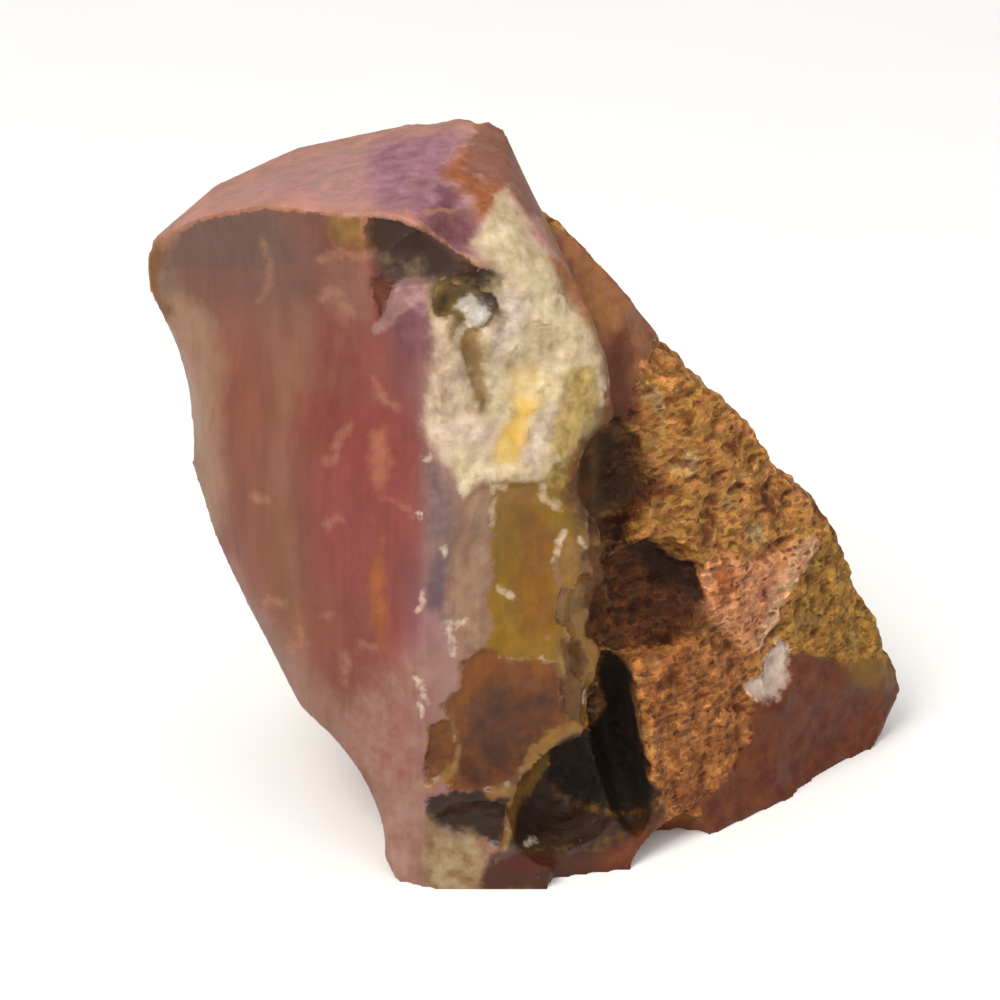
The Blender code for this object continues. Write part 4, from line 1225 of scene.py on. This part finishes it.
# %% List the coats
COATS = {
    # The cap: partly its own colour, partly painted shade under the overhanging lip.
    "cap": ("cocoa", "cocoa", 3.0, 0.9, 0.4),
    "cap_side": ("cocoa", "brick", 1.6, 0.6, 0.4),
    "brick": ("brick", "brick", 1.2, 0.5, 0.4),
    # The pale edge is a painted highlight along the rounded left edge.
    "pale_edge": ("taupe", "clay", 1.1, 0.7, 0.35),
    "grey_streak": ("taupe", "bronze", 1.2, 0.35, 0.4),
    "brown_fibre": ("bronze", "brick", 1.5, 0.4, 0.4),
    "maroon": ("haematite", "brick", 2.0, 0.7, 0.4),
    "rose": ("rose", "haematite", 2.0, 0.8, 0.4),
    "left_rim": ("clay", "lilac_grey", 1.2, 0.7, 0.35),
    "foot_mauve": ("clay", "rose_grey", 1.8, 0.7, 0.4),
    "foot_pink": ("clay", "rose_grey", 1.2, 0.8, 0.4),
    "purple": ("plum", "mauve", 0.6, 0.85, 0.4),
    "flame_high": ("salmon", "orange", 0.8, 0.5, 0.35),
    "flame_low": ("orange", "rust", 0.5, 0.8, 0.35),
    "violet": ("lilac_grey", "violet", 0.8, 0.9, 0.3),
    "violet_heart": ("violet", "violet", 0.6, 0.8, 0.3),
    "tan_band": ("bronze", "limonite", 0.5, 0.85, 0.4),
    "bracket": ("clay", "brick", 0.7, 0.7, 0.4),
    "left_scorch": ("rust", "bronze", 0.5, 0.7, 0.4),
    "cream_face": ("sand", "cream", 0.5, 1.0, 0.3),
    "lilac_patch": ("lilac_grey", "milk", 0.6, 0.85, 0.35),
    "grey_cheek": ("rose_grey", "cream", 1.0, 0.8, 0.35),
    "white_patch": ("milk", "clay", 0.8, 0.75, 0.35),
    "straw_patch": ("straw", "cream", 0.7, 0.8, 0.3),
    "yellow_patch": ("honey", "straw", 0.7, 0.9, 0.3),
    "grey_patch": ("taupe", "milk", 0.6, 0.8, 0.35),
    "olive_ridge": ("olive", "straw", 0.7, 0.9, 0.3),
    # The recess and its floor: painted shade under the lip.
    "recess": ("umber", "coffee", 0.6, 0.9, 0.6),
    "recess_floor": ("umber", "taupe", 0.7, 0.7, 0.6),
    # The red slab: its own oxblood, darkened with painted shade on the recess's inner wall.
    "red_slab": ("oxblood", "rust", 0.15, 1.0, 0.4),
    "pink_wedge": ("rose_grey", "mauve", 0.25, 0.9, 0.35),
    "vug": ("coffee", "olive", 0.5, 0.9, 0.5),
    "vug_shade": ("umber", "lilac_grey", 0.5, 0.9, 0.4),
    "vug_tail": ("bronze", "limonite", 0.6, 0.8, 0.5),
    "crystals": ("rock_crystal", "lilac_grey", 0.3, 0.7, 0.15),
    "scar": ("clay", "taupe", 0.4, 1.0, 0.2),
    "ochre": ("ochre", "olive", 0.25, 1.0, 0.2),
    "ochre_shade": ("amber", "rust", 1.2, 0.5, 0.2),
    "ochre_top": ("limonite", "ochre", 0.6, 0.7, 0.25),
    "pale_chip": ("limonite", "bronze", 0.25, 0.95, 0.25),
    "amber": ("amber", "rust", 0.3, 1.0, 0.2),
    # The amber foot is painted shade where the scar curves under.
    "amber_foot": ("chestnut", "coffee", 2.0, 0.9, 0.2),
    "crescent": ("chestnut", "amber", 0.2, 1.0, 0.2),
    "lobe": ("chestnut", "bronze", 0.25, 0.9, 0.4),
    # The dark facet is painted shade on the undercut that faces down.
    "dark_facet": ("umber", "coffee", 0.2, 1.0, 0.3),
    "tan_foot": ("bronze", "sand", 0.7, 0.9, 0.4),
    "foot_strip": ("coffee", "oxblood", 0.4, 0.9, 0.5),
    "foot_flame": ("rust", "oxblood", 0.8, 0.9, 0.6),
    "strip": ("brick", "tawny", 0.6, 0.9, 0.5),
    "strip_red": ("chestnut", "oxblood", 0.8, 0.7, 0.6),
    # The brow is painted shadow of the ridge beside it.
    "brow": ("coffee", "amber", 0.4, 0.9, 0.5),
    # The hollows behind the ridge: painted shadow cast by the ridge.
    "high_hollow": ("umber", "coffee", 1.8, 0.9, 0.8),
    "hollow_neck": ("coffee", "chestnut", 0.6, 0.8, 0.8),
    "low_hollow": ("chestnut", "coffee", 1.0, 0.8, 0.8),
    "hollow_roof": ("umber", "coffee", 0.5, 0.85, 0.8),
    "ledge": ("salmon", "tawny", 0.5, 0.7, 0.6),
    "ledge_red": ("rust", "orange", 0.5, 0.8, 0.6),
    "low_rust": ("rust", "tawny", 1.0, 0.8, 0.8),
    "olive_flank": ("olive", "limonite", 1.2, 0.65, 0.8),
    "corner": ("oxblood", "rust", 0.6, 0.95, 0.6),
    "corner_red": ("oxblood", "rust", 1.4, 0.8, 0.35),
    "corner_chip": ("milk", "rose_grey", 0.4, 0.9, 0.2),
    # The cavity and its floor: painted shadow in the deep slot.
    "cavity": ("soot", "umber", 0.35, 0.95, 0.8),
    "cavity_floor": ("umber", "coffee", 0.8, 1.0, 0.6),
    "top_pink": ("dusty_pink", "rose_grey", 0.3, 1.0, 0.5),
    "top_mauve": ("lilac", "mauve", 1.0, 0.85, 0.5),
    "lip_mauve": ("mauve", "plum", 0.8, 0.8, 0.5),
    "mauve_dark": ("plum", "plum", 0.5, 0.7, 0.5),
    "top_brown": ("brick", "clay", 0.4, 0.95, 0.5),
    "top_flame": ("orange", "rust", 0.6, 0.85, 0.5),
    "skirt": ("cream", "sand", 0.7, 0.95, 0.4),
    # The scar rims: partly wear, partly a painted highlight along the sharp edges.
    "worn_and_lit_scar_rims": ("limonite", "sand", 0.4, 0.35, 0.3),
    "worn_lip": ("salmon", "clay", 0.35, 0.6, 0.4),
    "rear_rim": ("salmon", "clay", 0.5, 0.3, 0.5),
    # The lip rim is a painted highlight along the lip's edge.
    "lip_rim": ("salmon", "dusty_pink", 0.3, 0.4, 0.4),
    "ledge_line": ("sand", "salmon", 0.4, 0.85, 0.5),
    "tan_rims": ("limonite", "bronze", 0.25, 0.8, 0.3),
    "cream_rims": ("cream", "milk", 0.3, 0.45, 0.3),
    "scuffs": ("salmon", "taupe", 0.4, 0.28, 0.35),
    # The glints: pale chips, partly a painted highlight.
    "glints": ("milk", "cream", 0.2, 0.42, 0.25),
}
print("coats:", len(COATS))

# %% [markdown]
# ## Paint the patches
# A mask could be kept for each patch, but a distance is better: the material adds a noise finer than the
# mesh to it, which frays each edge by a few tenths of a millimetre, and then turns it into a share. Three
# coats share one vector, so that eighty of them take few nodes. Another noise, 1.3 mm wide, spots the
# ground. Roughness changes too softly to need that, so it is worked out here, point by point.

# %% Paint the patches
FRAY = 0.9
MOTTLE = 1.3
MOTTLE_FINENESS = 0.6
MOTTLED = (0.32, 0.68)
SOFT_EDGE = {"data_type": "FLOAT_VECTOR", "interpolation_type": "SMOOTHSTEP"}


def coat_shares(first, names):
    """The sockets that give the shares of three coats, whose fields are kept and frayed as one vector."""
    packed = np.zeros((len(points), 3), np.float32)
    softness, cover = [1.0] * 3, [0.0] * 3
    for place, name in enumerate(names):
        packed[:, place] = fields[name]
        softness[place], cover[place] = COATS[name][2:4]
    kept = skin.attributes.new(f"coats_{first}", "FLOAT_VECTOR", "POINT")
    kept.data.foreach_set("vector", packed.ravel())
    distance = add(tree, "Attribute", {}, attribute_name=f"coats_{first}").outputs["Vector"]
    frayed = add(tree, "VectorMath", {0: distance, 1: fray}, operation="ADD").outputs["Vector"]
    covered = add(tree, "MapRange", {6: frayed, 7: [-edge for edge in softness], 8: softness, 10: cover},
                  **SOFT_EDGE).outputs[1]
    return add(tree, "SeparateXYZ", {"Vector": covered}).outputs


mottle = add(tree, "TexNoise", {"Vector": in_mm, "Scale": 1 / MOTTLE, "Detail": 3.0,
                                "Roughness": MOTTLE_FINENESS}).outputs["Fac"]
mottled = gain(mottle, *MOTTLED, 0, 1)
fray = add(tree, "Math", {0: speckle, 1: FRAY, 2: -FRAY / 2}, operation="MULTIPLY_ADD").outputs[0]
coat_names = list(COATS)
for first in range(0, len(COATS), 3):
    names = coat_names[first:first + 3]
    for name, share in zip(names, coat_shares(first, names)):
        ground, spots, softness, cover, gloss = COATS[name]
        colour = add(tree, "Mix", {0: share, 6: colour, 7: mineral(ground)}, data_type="RGBA").outputs[2]
        if spots != ground:
            share = add(tree, "Math", {0: share, 1: mottled}, operation="MULTIPLY").outputs[0]
            colour = add(tree, "Mix", {0: share, 6: colour, 7: mineral(spots)}, data_type="RGBA").outputs[2]
        roughness += cover * smooth_step(-softness, softness, fields[name]) * (gloss - roughness)
keep_field("roughness", roughness)
print("roughness:", round(float(roughness.min()), 2), "to", round(float(roughness.max()), 2))

# %% [markdown]
# ## Grains, pits and flecks
# The grains of the crust are 0.5 to 0.7 mm across and lie flat, so their cells are twice as wide as they
# are high. The pits between them are darkened, partly by dark red dirt and partly by painted shade, and
# every hollow of the crust gets the same painted shade. The thin walls between the pits are rubbed paler,
# and everything that sticks out is paler still, partly rubbed and partly a painted highlight. Every cell
# of a Voronoi pattern is a grain with its own tint: its middle is a pit or not, and its border is a wall.
# The agate has only small pale flecks, about 2 mm apart, where a tip of something hard has touched it.

# %% Add the grains and the flecks
GRAIN_SIZE = 0.32
FLATTENED = (0.5, 0.5, 1.0)
GRAIN_WARP = (0.9, -0.6, 0.7)
DARK_GRAIN = (0.62, 0.53, 0.46, 1.0)
LIGHT_GRAIN = (1.4, 1.38, 1.34, 1.0)
LUMP_SHADES = (0.78, 1.25)
HOLE_EDGE = (0.5, 0.25)
HOLE_CHOICE = (0.6, 0.9)
# The tint of the dark pits and hollows: red dirt and painted shade.
DIRT_AND_SHADE_TINT = (0.5, 0.36, 0.3)
WALLS = (0.4, 0.8)
WALL_GAIN = 1.25
# Painted shade in the hollows of the crust, and a painted highlight with the wear on its edges.
HOLLOW_SHADE = (-0.03, -0.16)
RUBBED_AND_LIT_EDGE = (0.05, 0.2)
RUBBED_AND_LIT_GAIN = 1.6
FLECK_SPACING = 1.9
FLECK_WANDER = 0.35
FLECK_EDGE = (0.3, 0.24)
FLECK_COVER = 0.45

streaked = add(tree, "VectorMath", {0: colour, "Scale": grain_gain}, operation="SCALE").outputs["Vector"]
warped = add(tree, "VectorMath", {0: speckle, 1: GRAIN_WARP, 2: in_mm}, operation="MULTIPLY_ADD")
lying = add(tree, "VectorMath", {0: warped.outputs["Vector"], 1: FLATTENED}, operation="MULTIPLY")
cells = add(tree, "TexVoronoi", {"Vector": lying.outputs["Vector"], "Scale": 1 / GRAIN_SIZE}).outputs
own = add(tree, "SeparateColor", {"Color": cells["Color"]}).outputs
own_tint = add(tree, "Mix", {0: own["Red"], 6: DARK_GRAIN, 7: LIGHT_GRAIN}, data_type="RGBA").outputs[2]
tinted = add(tree, "VectorMath", {0: colour, 1: own_tint}, operation="MULTIPLY").outputs["Vector"]
shades = [gain(mottled, 0, 1, *LUMP_SHADES), gain(cells["Distance"], *WALLS, 1, WALL_GAIN),
          gain(field("rim"), *RUBBED_AND_LIT_EDGE, 1, RUBBED_AND_LIT_GAIN)]
shade = add(tree, "Math", {0: shades[0], 1: shades[1]}, operation="MULTIPLY").outputs[0]
shade = add(tree, "Math", {0: shade, 1: shades[2]}, operation="MULTIPLY").outputs[0]
grained = add(tree, "VectorMath", {0: tinted, "Scale": shade}, operation="SCALE").outputs["Vector"]

middle_hole = gain(cells["Distance"], *HOLE_EDGE, 0, 1)
has_hole = gain(own["Green"], *HOLE_CHOICE, 0, 1)
hole = add(tree, "Math", {0: middle_hole, 1: has_hole}, operation="MULTIPLY").outputs[0]
# Painted shade in the pits and the hollows of the crust, over their dirt.
dark = add(tree, "Math", {0: hole, 1: gain(field("rim"), *HOLLOW_SHADE, 0, 1)}, operation="MAXIMUM").outputs[0]
shaded = add(tree, "VectorMath", {0: grained, 1: DIRT_AND_SHADE_TINT}, operation="MULTIPLY").outputs["Vector"]
pitted = add(tree, "Mix", {0: dark, 6: grained, 7: shaded}, data_type="RGBA").outputs[2]

touched = add(tree, "TexVoronoi", {"Vector": in_mm, "Scale": 1 / FLECK_SPACING, "Detail": 1.0})
wandering = add(tree, "Math", {0: speckle, 1: FLECK_WANDER, 2: touched.outputs["Distance"]},
                operation="MULTIPLY_ADD").outputs[0]
fleck = gain(wandering, *FLECK_EDGE, 0, FLECK_COVER)
flecked = add(tree, "Mix", {0: fleck, 6: streaked, 7: mineral("salmon")}, data_type="RGBA").outputs[2]
colour = add(tree, "Mix", {0: crust_share, 6: flecked, 7: pitted}, data_type="RGBA").outputs[2]
print("grains per cm:", round(10 / GRAIN_SIZE), "flecks per cm:", round(10 / FLECK_SPACING, 1))

# %% [markdown]
# ## Finish the stone
# Quartz has an index of refraction of 1.54, but a rubbed skin gives less of a mirror than polished
# quartz, so its specular level is lowered. Agate is a little clear, and light that sinks into it comes
# back with a deeper colour: a slight gamma on the colour gives that depth. A fine bump stands for what is
# finer than the mesh, the roughness of the rubbed agate and, stronger, the grit on the crust.

# %% Finish the stone
QUARTZ_IOR = 1.54
SPECULAR_LEVEL = 0.22
DEPTH = 1.07
BUMP_STRENGTHS = (0.12, 0.8)
BUMP_HEIGHT = 0.4

strength = gain(field("crust"), 0, 1, *BUMP_STRENGTHS)
bump = add(tree, "Bump", {"Height": speckle, "Strength": strength, "Distance": BUMP_HEIGHT * MM})
deep = add(tree, "Gamma", {"Color": colour, "Gamma": DEPTH}).outputs["Color"]
tree.links.new(deep, shader.inputs["Base Color"])
tree.links.new(field("roughness"), shader.inputs["Roughness"])
tree.links.new(bump.outputs["Normal"], shader.inputs["Normal"])
shader.inputs["IOR"].default_value = QUARTZ_IOR
shader.inputs["Specular IOR Level"].default_value = SPECULAR_LEVEL
chunk.data.materials.append(stone)
print("nodes:", len(tree.nodes))

# %% [markdown]
# ## The table
# The table top is a sheet of matt white laminate. It has no pattern to see, only the slightest unevenness
# of shade, as moulded from pressed paper, in clouds some 4 cm wide.

# %% Finish the table
LAMINATE_SHADES = ("#F4F3F1", "#F8F7F5")
LAMINATE_CLOUDS = 40.0
LAMINATE_ROUGHNESS = 0.6
LAMINATE_IOR = 1.5

laminate = bpy.data.materials.new("white_laminate")
laminate.use_nodes = True
top = laminate.node_tree
surface = top.nodes["Principled BSDF"]
floor_place = add(top, "TexCoord", {}).outputs["Object"]
cloud_scale = 1 / (LAMINATE_CLOUDS * MM)
pressed = add(top, "TexNoise", {"Vector": floor_place, "Scale": cloud_scale, "Detail": 2.0}).outputs["Fac"]
dull, bright = (linear(shade) for shade in LAMINATE_SHADES)
laminate_colour = add(top, "Mix", {0: pressed, 6: dull, 7: bright}, data_type="RGBA").outputs[2]
top.links.new(laminate_colour, surface.inputs["Base Color"])
surface.inputs["Roughness"].default_value = LAMINATE_ROUGHNESS
surface.inputs["IOR"].default_value = LAMINATE_IOR
table.data.materials.append(laminate)
print("laminate clouds, mm:", LAMINATE_CLOUDS)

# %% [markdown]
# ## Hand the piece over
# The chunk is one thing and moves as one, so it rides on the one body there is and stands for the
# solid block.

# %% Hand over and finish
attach(chunk, "root")
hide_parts(NODE)
